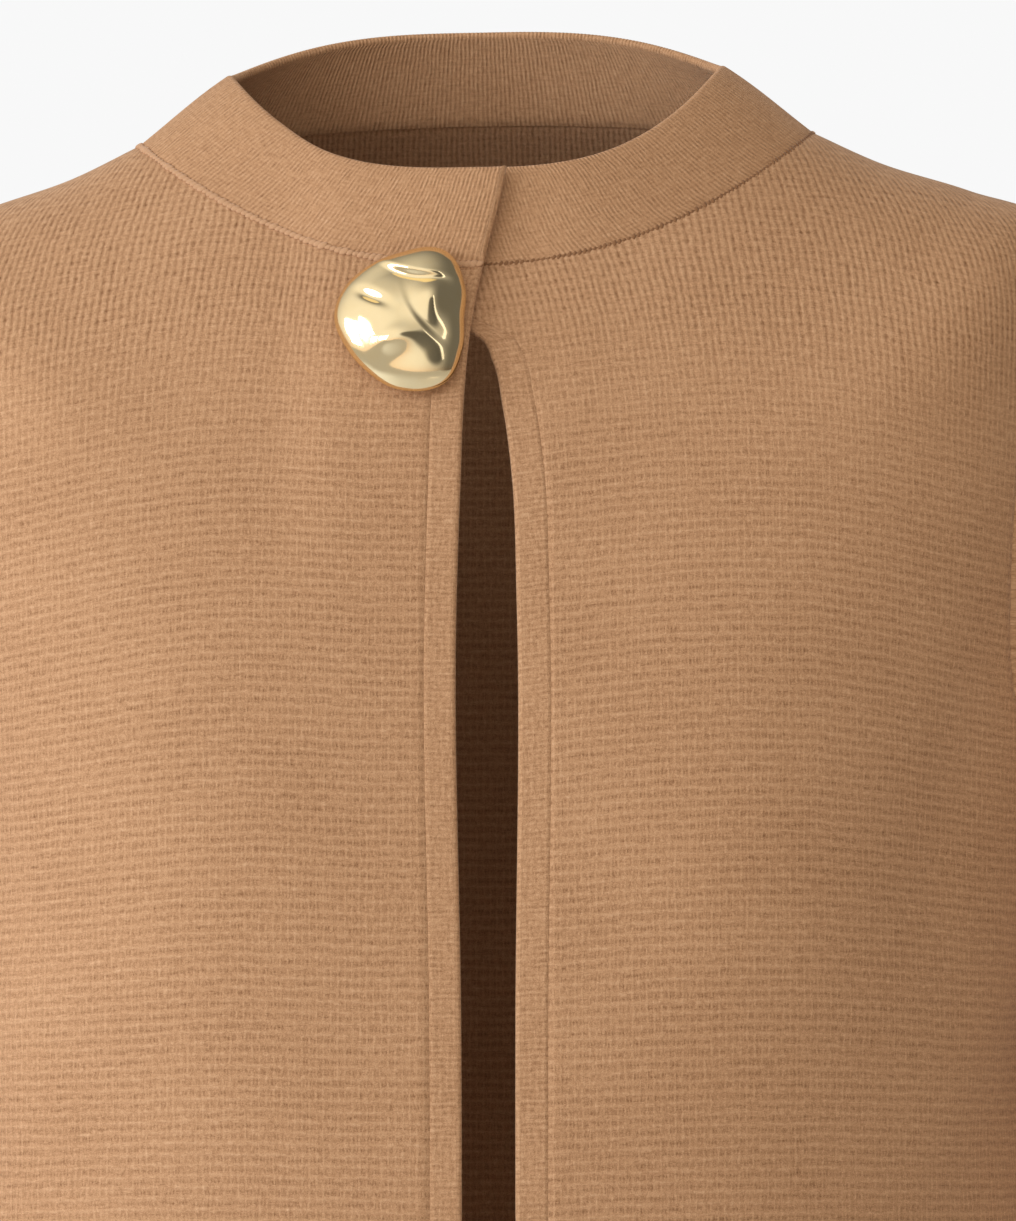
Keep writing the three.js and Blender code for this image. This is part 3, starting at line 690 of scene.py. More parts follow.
class MeshMaker:
    """Collects vertices and faces with flat places, and makes one Blender mesh of them."""

    def __init__(self) -> None:
        """Start with nothing."""
        self.vertices: list[Array] = []
        self.faces: list[Array] = []
        self.flats: list[Array] = []
        self.ribs: list[Array] = []
        self.count = 0

    def add_points(self, points: Array, rib: Array | float = 0.0) -> int:
        """Add vertices and return the index of the first.

        Args:
            points: Their places, in millimetres.
            rib: How far the cloth is ribbed at each.

        Returns:
            The index.
        """
        first = self.count
        flat = points.reshape(-1, 3)
        self.vertices.append(flat)
        self.ribs.append(np.broadcast_to(np.asarray(rib, float).reshape(-1), len(flat)))
        self.count += len(flat)
        return first

    def add_quads(self, quads: Array, flats: Array) -> None:
        """Add faces of four corners, each corner with its flat place."""
        self.faces.append(quads.reshape(-1, 4))
        self.flats.append(flats.reshape(-1, 4, 2))

    def mesh(self, name: str) -> bpy.types.Mesh:
        """Make the mesh in metres, its faces turned outwards.

        Args:
            name: The mesh's name.

        Returns:
            The mesh.
        """
        vertices = np.concatenate(self.vertices) * MM
        faces = np.concatenate(self.faces)
        flats = np.concatenate(self.flats)
        a, b, c, d = (vertices[faces[:, k]] for k in range(4))
        volume = np.sum(a * np.cross(b, c)) + np.sum(a * np.cross(c, d))
        if volume < 0:
            faces, flats = faces[:, ::-1], flats[:, ::-1]
        made = bpy.data.meshes.new(name)
        made.from_pydata(vertices.tolist(), [], faces.tolist())
        uv = made.uv_layers.new(name=UV_NAME)
        uv.data.foreach_set("uv", flats.reshape(-1).astype(np.float32))
        rib = made.attributes.new(RIB_NAME, "FLOAT", "POINT")
        rib.data.foreach_set("value", np.concatenate(self.ribs).astype(np.float32))
        made.shade_smooth()
        made.validate()
        return made


def wall_mesh(name: str, sheet: Sheet, thickness: float, rim: Rim) -> bpy.types.Mesh:
    """Make a closed wall of cloth with rounded edges.

    Args:
        name: The mesh's name.
        sheet: The outer face, out to its nominal edges.
        thickness: Of the wall, in millimetres.
        rim: The rounding of its edges.

    Returns:
        The mesh.
    """
    rows, cols = sheet.points.shape[:2]
    loops = []
    moved = sheet.points.copy()
    for i, j, side in sheet.loops():
        out, flat_out, reach = sheet.outward(i, j)
        let_out = np.array(rim.let_out)[side]
        width = np.minimum(rim.widths[side], let_out + rim.most * reach)
        take_in = (width - let_out)[:, None]
        moved[i, j] = sheet.points[i, j] - out * take_in
        loops.append((i, j, out, flat_out, width))
    maker = MeshMaker()
    rib = np.zeros((rows, cols)) if sheet.rib is None else sheet.rib
    outer = maker.add_points(moved, rib)
    inner = maker.add_points(moved - sheet.normals * thickness, rib)
    index = np.arange(rows * cols).reshape(rows, cols)
    flat = sheet.flat
    if sheet.closed:
        index = np.concatenate([index, index[:, :1]], axis=1)
    low, high = slice(None, -1), slice(1, None)
    corner = [(low, low), (high, low), (high, high), (low, high)]
    quads = np.stack([index[c] for c in corner], axis=-1)
    flats = np.stack([flat[c] for c in corner], axis=-2)
    maker.add_quads(quads + outer, flats)
    maker.add_quads(quads[..., ::-1] + inner, flats[..., ::-1, :])
    for i, j, out, flat_out, width in loops:
        start = moved[i, j]
        normal = sheet.normals[i, j]
        here_flat = flat[i, j]
        previous = index[i, j] + outer
        previous_flat = here_flat
        for k in range(1, rim.steps + 1):
            t = math.pi * k / rim.steps
            arc = k / rim.steps * math.pi / 2 * thickness
            now_flat = here_flat + flat_out * arc
            if k == rim.steps:
                now = index[i, j] + inner
            else:
                lift = normal * (thickness / 2 * (math.cos(t) - 1))
                ring = start + lift + out * (width * math.sin(t))[:, None]
                now = np.arange(len(i)) + maker.add_points(ring, rib[i, j])
            a, b = previous, np.roll(previous, -1)
            c, d = np.roll(now, -1), now
            fa, fb = previous_flat, np.roll(previous_flat, -1, axis=0)
            fc, fd = np.roll(now_flat, -1, axis=0), now_flat
            maker.add_quads(np.stack([b, c, d, a], axis=-1), np.stack([fb, fc, fd, fa], axis=-2))
            previous, previous_flat = now, now_flat
    return maker.mesh(name)


# ---------------------------------------------------------------- nodes


class Value:
    """A number on a node's socket. Arithmetic on it adds Math nodes."""

    def __init__(self, tree: "NodeTree", socket: bpy.types.NodeSocket) -> None:
        """Keep the socket and the tree that it is in."""
        self.tree, self.socket = tree, socket

    def _with(self, operation: str, *values: "Value | float", clamp: bool = False) -> "Value":
        """Add a Math node on these values.

        Args:
            operation: The node's operation.
            *values: Its inputs, in order.
            clamp: Whether the result is held between 0 and 1.

        Returns:
            The node's result.
        """
        made = self.tree.node(
            "ShaderNodeMath", {"operation": operation, "use_clamp": clamp}, dict(enumerate(values))
        )
        return Value(self.tree, made.outputs[0])

    def __add__(self, other: "Value | float") -> "Value":
        """Add."""
        return self._with("ADD", self, other)

    def __sub__(self, other: "Value | float") -> "Value":
        """Subtract."""
        return self._with("SUBTRACT", self, other)

    def __rsub__(self, other: float) -> "Value":
        """Subtract from a number."""
        return self._with("SUBTRACT", other, self)

    def __mul__(self, other: "Value | float") -> "Value":
        """Multiply."""
        return self._with("MULTIPLY", self, other)

    def __truediv__(self, other: "Value | float") -> "Value":
        """Divide."""
        return self._with("DIVIDE", self, other)

    def __pow__(self, power: float) -> "Value":
        """Raise to a power."""
        return self._with("POWER", self, power)

    __radd__ = __add__
    __rmul__ = __mul__

    def cosine(self) -> "Value":
        """Take the cosine."""
        return self._with("COSINE", self)

    def clamped(self) -> "Value":
        """Keep between 0 and 1."""
        return self._with("ADD", self, 0.0, clamp=True)


class NodeTree:
    """Adds nodes to a shader or geometry tree."""

    def __init__(self, tree: bpy.types.NodeTree) -> None:
        """Keep the tree."""
        self.tree = tree

    @staticmethod
    def _socket(sockets: Sequence[bpy.types.NodeSocket], key: str | int) -> bpy.types.NodeSocket:
        """Find a socket by its place, identifier or name.

        Args:
            sockets: A node's inputs or outputs.
            key: Its place, identifier or name.

        Returns:
            The socket.
        """
        if isinstance(key, int):
            return sockets[key]
        for socket in sockets:
            if socket.identifier == key:
                return socket
        return next(socket for socket in sockets if socket.name == key)

    def node(
        self,
        kind: str,
        settings: Mapping[str, object] | None = None,
        inputs: Mapping[str | int, object] | None = None,
    ) -> bpy.types.Node:
        """Add a node.

        Args:
            kind: The node's type.
            settings: Its settings, set first; stops are a colour ramp's.
            inputs: Values, links or sockets, by the input's place, identifier or name.

        Returns:
            The node.
        """
        made = self.tree.nodes.new(kind)
        for name, value in (settings or {}).items():
            if name == "stops":
                ramp = made.color_ramp.elements
                while len(ramp) < len(value):
                    ramp.new(0.5)
                for element, (position, colour) in zip(ramp, value, strict=True):
                    element.position, element.color = position, (*colour, 1.0)
            else:
                setattr(made, name, value)
        for key, value in (inputs or {}).items():
            socket = self._socket(made.inputs, key)
            source = value.socket if isinstance(value, Value) else value
            if isinstance(source, bpy.types.NodeSocket):
                self.tree.links.new(source, socket)
            else:
                socket.default_value = source
        return made

    def value(self, node: bpy.types.Node, key: str | int = 0) -> Value:
        """Take one of a node's outputs as a number."""
        return Value(self, self._socket(node.outputs, key))

    def noise(self, place: bpy.types.NodeSocket, size: float, detail: float = 2.0) -> Value:
        """Add noise from 0 to 1.

        Args:
            place: The vector that it reads, in metres.
            size: The size of its patches, in metres.
            detail: How many finer layers it has.

        Returns:
            The noise.
        """
        made = self.node(
            "ShaderNodeTexNoise", {}, {"Vector": place, "Scale": 1 / size, "Detail": detail}
        )
        return self.value(made, "Fac")

    def streaks(
        self, place: bpy.types.NodeSocket, size: float, stretch: tuple[float, float]
    ) -> Value:
        """Add noise from 0 to 1 whose patches are drawn out, by one over the stretch.

        Args:
            place: The vector that it reads.
            size: The size of its patches, in metres.
            stretch: What the x and y of the place are multiplied by.

        Returns:
            The noise.
        """
        drawn = self.node(
            "ShaderNodeVectorMath", {"operation": "MULTIPLY"}, {0: place, 1: (*stretch, 1.0)}
        )
        return self.noise(drawn.outputs[0], size, 2.0)

    def ease(self, value: Value, start: float, end: float) -> Value:
        """Ease a number from 0 at start to 1 at end.

        Args:
            value: The number.
            start: Where the result is 0.
            end: Where the result is 1.

        Returns:
            The result.
        """
        made = self.node(
            "ShaderNodeMapRange",
            {"interpolation_type": "SMOOTHSTEP"},
            {"Value": value, "From Min": start, "From Max": end},
        )
        return self.value(made, "Result")

    def bump(self, strength: float, distance: float, height: Value) -> bpy.types.NodeSocket:
        """Add relief of a depth in metres."""
        values = {"Strength": strength, "Distance": distance, "Height": height}
        return self.node("ShaderNodeBump", {}, values).outputs[0]

    def surface(self, inputs: Mapping[str | int, object]) -> None:
        """End a material in a Principled shader with these inputs."""
        shader = self.node("ShaderNodeBsdfPrincipled", {}, inputs)
        self.node("ShaderNodeOutputMaterial", {}, {"Surface": shader.outputs[0]})

    def mix(self, share: "Value | float", low: object, high: object) -> bpy.types.NodeSocket:
        """Mix two colours.

        Args:
            share: The share of the high colour.
            low: The colour at 0.
            high: The colour at 1.

        Returns:
            The mixed colour.
        """
        made = self.node(
            "ShaderNodeMix",
            {"data_type": "RGBA"},
            {"Factor_Float": share, "A_Color": low, "B_Color": high},
        )
        return self._socket(made.outputs, "Result_Color")


class Finish:
    """A finish that is made as one material the first time that it is needed."""

    name: str

    def paint(self, tree: NodeTree) -> None:
        """Add the finish's nodes to a new material's tree."""
        raise NotImplementedError

    @cache
    def material(self) -> bpy.types.Material:
        """Give the finish's material.

        Returns:
            The new material.
        """
        made = bpy.data.materials.new(self.name)
        made.use_nodes = True
        made.node_tree.nodes.clear()
        self.paint(NodeTree(made.node_tree))
        return made

    def dress(self, piece: bpy.types.Object) -> None:
        """Put the finish on the whole of a piece."""
        piece.data.materials.clear()
        piece.data.materials.append(self.material())


def rgba(colour: Colour) -> tuple[float, float, float, float]:
    """Give a colour with full alpha."""
    return (*colour, 1.0)


@dataclass(frozen=True)
class WoolKnit(Finish):
    """Brushed wool knit, laid out on the flat cut, with painted shade in the gaps between stitches
    and painted highlights on their tops. Sizes in metres.
    """

    name: str = "wool_knit"
    colour: Colour = (0.525, 0.297, 0.157)
    dark_fibre_and_gap_shade_colour: Colour = (0.185, 0.078, 0.029)
    pale_fibre_and_tip_highlight_colour: Colour = (0.80, 0.52, 0.32)
    sheen_colour: Colour = (1.0, 0.82, 0.66)
    relief: float = 0.0002
    sheen: float = 0.2
    # dark darkens the gaps between stitches, painted shade; light lightens the stitch tops, painted
    # highlight
    dark: float = 0.2
    light: float = 0.1
    fuzz: float = 0.84
    weave: float = 0.36
    drift: float = 0.0007
    wobble: float = 0.0008
    wobble_shares: tuple[float, float] = (0.7, 1.3)
    drift_scale: float = 75.0
    wobble_scale: float = 520.0
    broken_size: float = 0.0027
    broken_range: tuple[float, float] = (0.34, 0.66)
    patch_size: float = 0.014
    fibre_size: float = 0.00038
    tuft_size: float = 0.0011
    mottle_size: float = 0.045
    mottle: float = 0.14
    streak_size: float = 0.0008
    course_stretch: tuple[float, float] = (0.16, 1.0)
    stem_stretch: tuple[float, float] = (1.0, 0.22)
    roughness: float = 0.82
    roughness_vary: float = 0.16

    def stitches(self, tree: NodeTree, u: Value, v: Value, broken: Value) -> tuple[Value, Value]:
        """Give how deep a place lies between stitches and how far it stands out on one.

        Args:
            tree: The material's tree.
            u: The flat place across the cloth.
            v: The flat place up the cloth.
            broken: Noise that varies the stitches.

        Returns:
            The depth and the height, each 0 to about 1.
        """
        raise NotImplementedError

    @staticmethod
    def gap(place: Value, pitch: float, power: float) -> Value:
        """Give repeated gaps, 1 in the middle of each; a higher power makes them narrower."""
        wave = (place * (2 * math.pi / pitch)).cosine()
        return (0.5 - 0.5 * wave) ** power

    @staticmethod
    def ridge(place: Value, pitch: float, power: float) -> Value:
        """Give repeated ridges, 1 along the top of each; a higher power makes them narrower."""
        wave = (place * (2 * math.pi / pitch)).cosine()
        return (0.5 + 0.5 * wave) ** power

    def paint(self, tree: NodeTree) -> None:
        """Add the knit's nodes.

        Args:
            tree: The material's tree.
        """
        flat = tree.node("ShaderNodeUVMap", {"uv_map": UV_NAME}).outputs[0]
        parts = tree.node("ShaderNodeSeparateXYZ", {}, {0: flat})
        drifts, wobbles = (
            tree.node(
                "ShaderNodeSeparateXYZ",
                {},
                {
                    0: tree.node(
                        "ShaderNodeTexNoise",
                        {},
                        {"Vector": flat, "Scale": scale, "Detail": detail},
                    ).outputs["Color"]
                },
            )
            for scale, detail in ((self.drift_scale, 1.0), (self.wobble_scale, 2.0))
        )
        moved = [
            tree.value(parts, k)
            + (tree.value(drifts, k) - 0.5) * (self.drift * 2)
            + (tree.value(wobbles, k) - 0.5) * (self.wobble * share)
            for k, share in enumerate(self.wobble_shares)
        ]
        broken = tree.ease(tree.noise(flat, self.broken_size, 3.0), *self.broken_range)
        patch = tree.noise(flat, self.patch_size, 2.0)
        depth, height = self.stitches(tree, moved[0], moved[1], broken)
        fibre = tree.noise(flat, self.fibre_size, 3.0)
        tuft = tree.noise(flat, self.tuft_size, 2.0)
        mottle = tree.noise(flat, self.mottle_size, 2.0)
        course = tree.streaks(flat, self.streak_size, self.course_stretch)
        stem = tree.streaks(flat, self.streak_size, self.stem_stretch)
        fuzz = (fibre - 0.5) * self.fuzz + (tuft - 0.5) * (self.fuzz * 0.5)
        fuzz = fuzz + (mottle - 0.5) * self.mottle
        cross = (course + stem - 1) * self.weave
        strength = 0.5 + patch
        # Painted shade where the stitches' gaps lie deep and painted highlight on their tops;
        # fibre, mottle and weave noise vary the tone at random
        tone = 0.5 - depth * strength * self.dark + height * strength * self.light + fuzz + cross
        colour = tree.node(
            "ShaderNodeValToRGB",
            {"stops": ((0.0, self.dark_fibre_and_gap_shade_colour), (0.5, self.colour), (1.0, self.pale_fibre_and_tip_highlight_colour))},
            {"Fac": tone},
        )
        raised = height * 0.5 - depth * 0.5 + fibre * 0.5 + cross
        tree.surface(
            {
                "Base Color": colour.outputs[0],
                "Roughness": self.roughness + fibre * self.roughness_vary,
                "IOR": 1.45,
                "Specular IOR Level": 0.2,
                "Sheen Weight": self.sheen,
                "Sheen Roughness": 0.45,
                "Sheen Tint": rgba(self.sheen_colour),
                "Normal": tree.bump(1.0, self.relief, raised),
            }
        )


@dataclass(frozen=True)
class BodyKnit(WoolKnit):
    """Rows of soft ridges crossed by fine wales, which turn to ribs towards the neck."""

    name: str = "camel_body_knit"
    wale: float = 0.00225
    row: float = 0.00345

    def stitches(self, tree: NodeTree, u: Value, v: Value, broken: Value) -> tuple[Value, Value]:
        """Give how deep a place lies between stitches and how far it stands out on one.

        Args:
            tree: The material's tree.
            u: The flat place across the cloth.
            v: The flat place up the cloth.
            broken: Noise that varies the stitches.

        Returns:
            The depth, and how far it stands out.
        """
        rib = tree.value(tree.node("ShaderNodeAttribute", {"attribute_name": RIB_NAME}), "Fac")
        plain = 1 - rib
        wale_gap = self.gap(u, self.wale, 2.5)
        slot = self.gap(u, self.wale / 2, 1.6)
        row_gap = self.gap(v, self.row, 1.8)
        row_top = self.ridge(v, self.row, 4.0)
        dashes = row_gap * (0.15 + slot * 0.65 + wale_gap * 0.3) * (0.2 + broken * 1.3)
        lines = (wale_gap * 0.4 + slot * 0.2) * (1.1 - broken)
        ribs = wale_gap * (0.75 + row_gap * 0.2) * (0.5 + broken * 0.55)
        ribs = ribs * (rib * 0.45 + rib**6 * 0.75)
        depth = dashes * (0.35 + plain * 0.55) + ribs + lines * plain
        rib_top = self.ridge(u, self.wale, 2.0) * rib * 0.7
        height = row_top * (0.3 + plain * 0.6) * (1.3 - broken) + rib_top * (0.4 + broken * 0.6)
        return depth, height


@dataclass(frozen=True)
class RibKnit(WoolKnit):
    """The neckband's doubled rib: fine brushed ribs with rows that hardly show."""

    name: str = "camel_rib_knit"
    rib: float = 0.0015
    row: float = 0.0017
    dark: float = 0.17
    light: float = 0.08
    fuzz: float = 0.55
    weave: float = 0.36
    drift: float = 0.0008
    wobble: float = 0.0007

    def stitches(self, tree: NodeTree, u: Value, v: Value, broken: Value) -> tuple[Value, Value]:
        """Give how deep a place lies between ribs and how far it stands out on one.

        Args:
            tree: The material's tree.
            u: The flat place across the cloth.
            v: The flat place up the cloth.
            broken: Noise that varies the stitches.

        Returns:
            The depth, and how far it stands out.
        """
        rib_gap = self.gap(u, self.rib, 2.0)
        row_gap = self.gap(v, self.row, 1.2)
        depth = rib_gap * (0.25 + broken * 0.75) + row_gap * (1 - broken) * 0.25
        return depth, self.ridge(u, self.rib, 2.0) * broken


@dataclass(frozen=True)
class BandKnit(WoolKnit):
    """The front bands' close, smooth knit."""

    name: str = "camel_band_knit"
    wale: float = 0.0022
    row: float = 0.0021
    dark: float = 0.18
    light: float = 0.09
    weave: float = 0.46

    def stitches(self, tree: NodeTree, u: Value, v: Value, broken: Value) -> tuple[Value, Value]:
        """Give how deep a place lies between stitches and how far it stands out on one.

        Args:
            tree: The material's tree.
            u: The flat place across the cloth.
            v: The flat place up the cloth.
            broken: Noise that varies the stitches.

        Returns:
            The depth, and how far it stands out.
        """
        wale_gap = self.gap(u, self.wale, 2.0)
        row_gap = self.gap(v, self.row, 1.4)
        half_gap = self.gap(u, self.wale / 2, 1.4)
        depth = wale_gap * 0.4 * (1.2 - broken) + row_gap * (0.3 + half_gap * 0.5) * broken
        return depth, self.ridge(v, self.row, 2.0) * (0.9 - broken * 0.6)


@dataclass(frozen=True)
class YarnFinish(Finish):
    """A drawn strand of the coat's own yarn, for linking stitches and sewing thread."""

    name: str = "linking_yarn"
    colour: Colour = (0.64, 0.39, 0.22)
    low_colour: Colour = (0.44, 0.235, 0.115)
    fibre: float = 0.0006
    patch: float = 0.006
    relief: float = 0.0002

    def paint(self, tree: NodeTree) -> None:
        """Add the strand's nodes.

        Args:
            tree: The material's tree.
        """
        place = tree.node("ShaderNodeTexCoord").outputs["Object"]
        fibre = tree.noise(place, self.fibre, 3.0)
        patch = tree.noise(place, self.patch, 1.0)
        share = (fibre * 0.7 + patch * 0.5 - 0.2).clamped()
        tree.surface(
            {
                "Base Color": tree.mix(share, rgba(self.low_colour), rgba(self.colour)),
                "Roughness": 0.78 + fibre * 0.18,
                "Specular IOR Level": 0.25,
                "Sheen Weight": 0.25,
                "Sheen Roughness": 0.45,
                "Normal": tree.bump(0.8, self.relief, fibre),
            }
        )


# Two copies of the yarn: a lighter one for the raised ridges, painted light, and a much darker one
# for the sunk ridge, painted shade
RAISED_YARN = YarnFinish("linking_yarn_painted_light", (0.66, 0.40, 0.235), (0.50, 0.285, 0.152))
YARN_IN_SHADE = YarnFinish("linking_yarn_painted_shade", (0.36, 0.19, 0.09), (0.2, 0.09, 0.036))


@dataclass(frozen=True)
class PolishedGold(Finish):
    """Gold plate over a cast pebble, polished, with the faint waves of the casting."""

    name: str = "polished_gold"
    colour: Colour = (1.0, 0.87, 0.57)
    deep_colour: Colour = (0.97, 0.77, 0.41)
    wave: float = 0.009
    haze: float = 0.004
    grain: float = 0.0004
    relief: float = 0.0005

    def paint(self, tree: NodeTree) -> None:
        """Add the gold's nodes.

        Args:
            tree: The material's tree.
        """
        place = tree.node("ShaderNodeTexCoord").outputs["Object"]
        wave = tree.noise(place, self.wave, 1.0)
        haze = tree.noise(place, self.haze, 3.0)
        grain = tree.noise(place, self.grain, 2.0)
        tree.surface(
            {
                "Base Color": tree.mix(haze * 0.6, rgba(self.colour), rgba(self.deep_colour)),
                "Metallic": 1.0,
                "Roughness": 0.06 + haze * 0.08,
                "Normal": tree.bump(0.35, self.relief, wave + grain * 0.01),
            }
        )


@dataclass(frozen=True)
class StudioPaint(Finish):
    """The plain pale floor."""

    name: str = "studio_floor"
    colour: Colour = (0.82, 0.815, 0.81)
    low_share: float = 0.97
    patch: float = 0.8

    def paint(self, tree: NodeTree) -> None:
        """Add the floor's nodes.

        Args:
            tree: The material's tree.
        """
        place = tree.node("ShaderNodeTexCoord").outputs["Object"]
        patch = tree.noise(place, self.patch, 2.0)
        low = tuple(self.low_share * c for c in self.colour)
        tree.surface(
            {"Base Color": tree.mix(patch, rgba(self.colour), rgba(low)), "Roughness": 0.85}
        )


# ---------------------------------------------------------------- placing pieces


def add_object(name: str, mesh: bpy.types.Mesh) -> bpy.types.Object:
    """Link a new object for a mesh, at the origin.

    Args:
        name: The object's name.
        mesh: Its mesh.

    Returns:
        The object.
    """
    made = bpy.data.objects.new(name, mesh)
    bpy.context.scene.collection.objects.link(made)
    return made


def report(piece: bpy.types.Object) -> None:
    """Log a finished piece."""
    triangles = sum(len(face.vertices) - 2 for face in piece.data.polygons)
    LOG.info("%s: %d triangles", piece.name, triangles)


@dataclass(frozen=True)
class FlatCut:
    """A piece's flat cut in metres, and its area where it isn't a rectangle."""

    width: float
    length: float
    area: float | None = None


def hang(piece: bpy.types.Object, node: str, finish: Finish) -> None:
    """Args:
        piece: The finished cloth.
        node: The CAD node that it stands for.
        finish: Its finish.
    """
    finish.dress(piece)
    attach(piece, ROOT)
    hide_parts(node)
    report(piece)


YOKE_ROWS, ARM_ROWS, SKIRT_ROWS, HEM_ROWS = 32, 44, 96, 12
SKIRT_END, HEM_START = 24, 22


def body_runs(form: WornForm) -> Array:
    """Give the runs of the body's rows, close together at the armhole's ends and the hem.

    Args:
        form: The worn form.

    Returns:
        The runs, from the neck seam down.
    """
    yoke = np.linspace(0, form.shoulder_tip, YOKE_ROWS)
    share = (1 - np.cos(np.pi * np.arange(1, ARM_ROWS) / ARM_ROWS)) / 2
    arm = form.shoulder_tip + (form.underarm - form.shoulder_tip) * share
    skirt = np.linspace(form.underarm, form.hem - SKIRT_END, SKIRT_ROWS)
    hem = np.linspace(form.hem - HEM_START, form.hem, HEM_ROWS)
    return np.concatenate([yoke, arm, skirt, hem])


@dataclass
class BodyPanels:
    """The two fronts and the back. Millimetres."""

    form: WornForm
    cut: CutMap
    wall: float = 2.2
    band_width: float = 10
    front_steps: int = 60
    back_steps: int = 110
    buttonhole: "Buttonhole | None" = None
    finish: BodyKnit = field(default_factory=BodyKnit)

    def sheet(self, angles: Array, runs: Array, layer: Layer) -> Sheet:
        """Lay out one panel.

        Args:
            angles: Degrees, rows by columns.
            runs: The run of each row.
            layer: The panel.

        Returns:
            Its outer face.
        """
        rows = np.broadcast_to(runs[:, None], angles.shape)
        points = self.form.point(angles, rows, layer)
        normals = self.form.normal(angles, rows, layer)
        flat = self.cut.body(points, angles, runs, layer)
        return Sheet(points, normals, flat, rib=self.cut.rib_share(points))

    def front(self, side: Side) -> Sheet:
        """Lay out a front.

        Args:
            side: The front's side.

        Returns:
            Its outer face.
        """
        runs = body_runs(self.form)
        inner = self.form.edge_angle(side, runs, self.band_width)
        outer = side.value * (90 - self.form.scoop(runs))
        start, end = (inner, outer) if side is Side.LEFT else (outer, inner)
        share = np.linspace(0, 1, self.front_steps + 1)
        angles = start[:, None] + (end - start)[:, None] * share
        return self.sheet(angles, runs, side.layer)

    def back(self) -> Sheet:
        """Lay out the back.

        Returns:
            The back's sheet.
        """
        runs = body_runs(self.form)
        scoop = self.form.scoop(runs)
        share = np.linspace(0, 1, self.back_steps + 1)
        angles = (90 + scoop)[:, None] + (180 - 2 * scoop)[:, None] * share
        return self.sheet(angles, runs, Layer.BACK)

    def build(self) -> None:
        """Make the three panels."""
        for name, sheet in (
            ("front_right", self.front(Side.RIGHT)),
            ("front_left", self.front(Side.LEFT)),
            ("back", self.back()),
        ):
            piece = add_object(f"{name}_knit", wall_mesh(name, sheet, self.wall, Rim()))
            if name == "front_right" and self.buttonhole:
                self.buttonhole.cut(piece)
            hang(piece, name, self.finish)


@dataclass
class FrontBands:
    """The narrow doubled strip down each front edge. Millimetres."""

    form: WornForm
    cut: CutMap
    wall: float = 2.8
    width: float = 10
    columns: tuple[float, ...] = (0, 1.9, 2.5, 3.4, 4.6, 6, 7.4, 8.7, 10)
    finish: BandKnit = field(default_factory=BandKnit)

    def sheet(self, side: Side) -> Sheet:
        """Lay out one band.

        Args:
            side: The band's side.

        Returns:
            Its outer face.
        """
        runs = body_runs(self.form)
        inner = self.form.edge_angle(side, runs, self.width)
        outer = self.form.edge_angle(side, runs, 0)
        share = np.array(self.columns) / self.width
        if side is Side.RIGHT:
            share = share[::-1]
        angles = outer[:, None] + (inner - outer)[:, None] * share
        rows = np.broadcast_to(runs[:, None], angles.shape)
        points = self.form.point(angles, rows, side.layer)
        normals = self.form.normal(angles, rows, side.layer)
        across = np.broadcast_to(share * self.width, angles.shape)
        down = self.cut.down(points, side)
        return Sheet(points, normals, np.stack([across, down], axis=-1) * MM)

    def build(self) -> None:
        """Make both bands."""
        for side in Side:
            name = f"front_band_{side.word}"
            free = self.wall / 2
            rim = (
                Rim(end=free, foot=free, let_out=(0.15, 0, 0, 0.2))
                if side is Side.RIGHT
                else Rim(start=free, foot=free, let_out=(0.15, 0.2, 0, 0))
            )
            piece = add_object(f"{name}_knit", wall_mesh(name, self.sheet(side), self.wall, rim))
            hang(piece, name, self.finish)


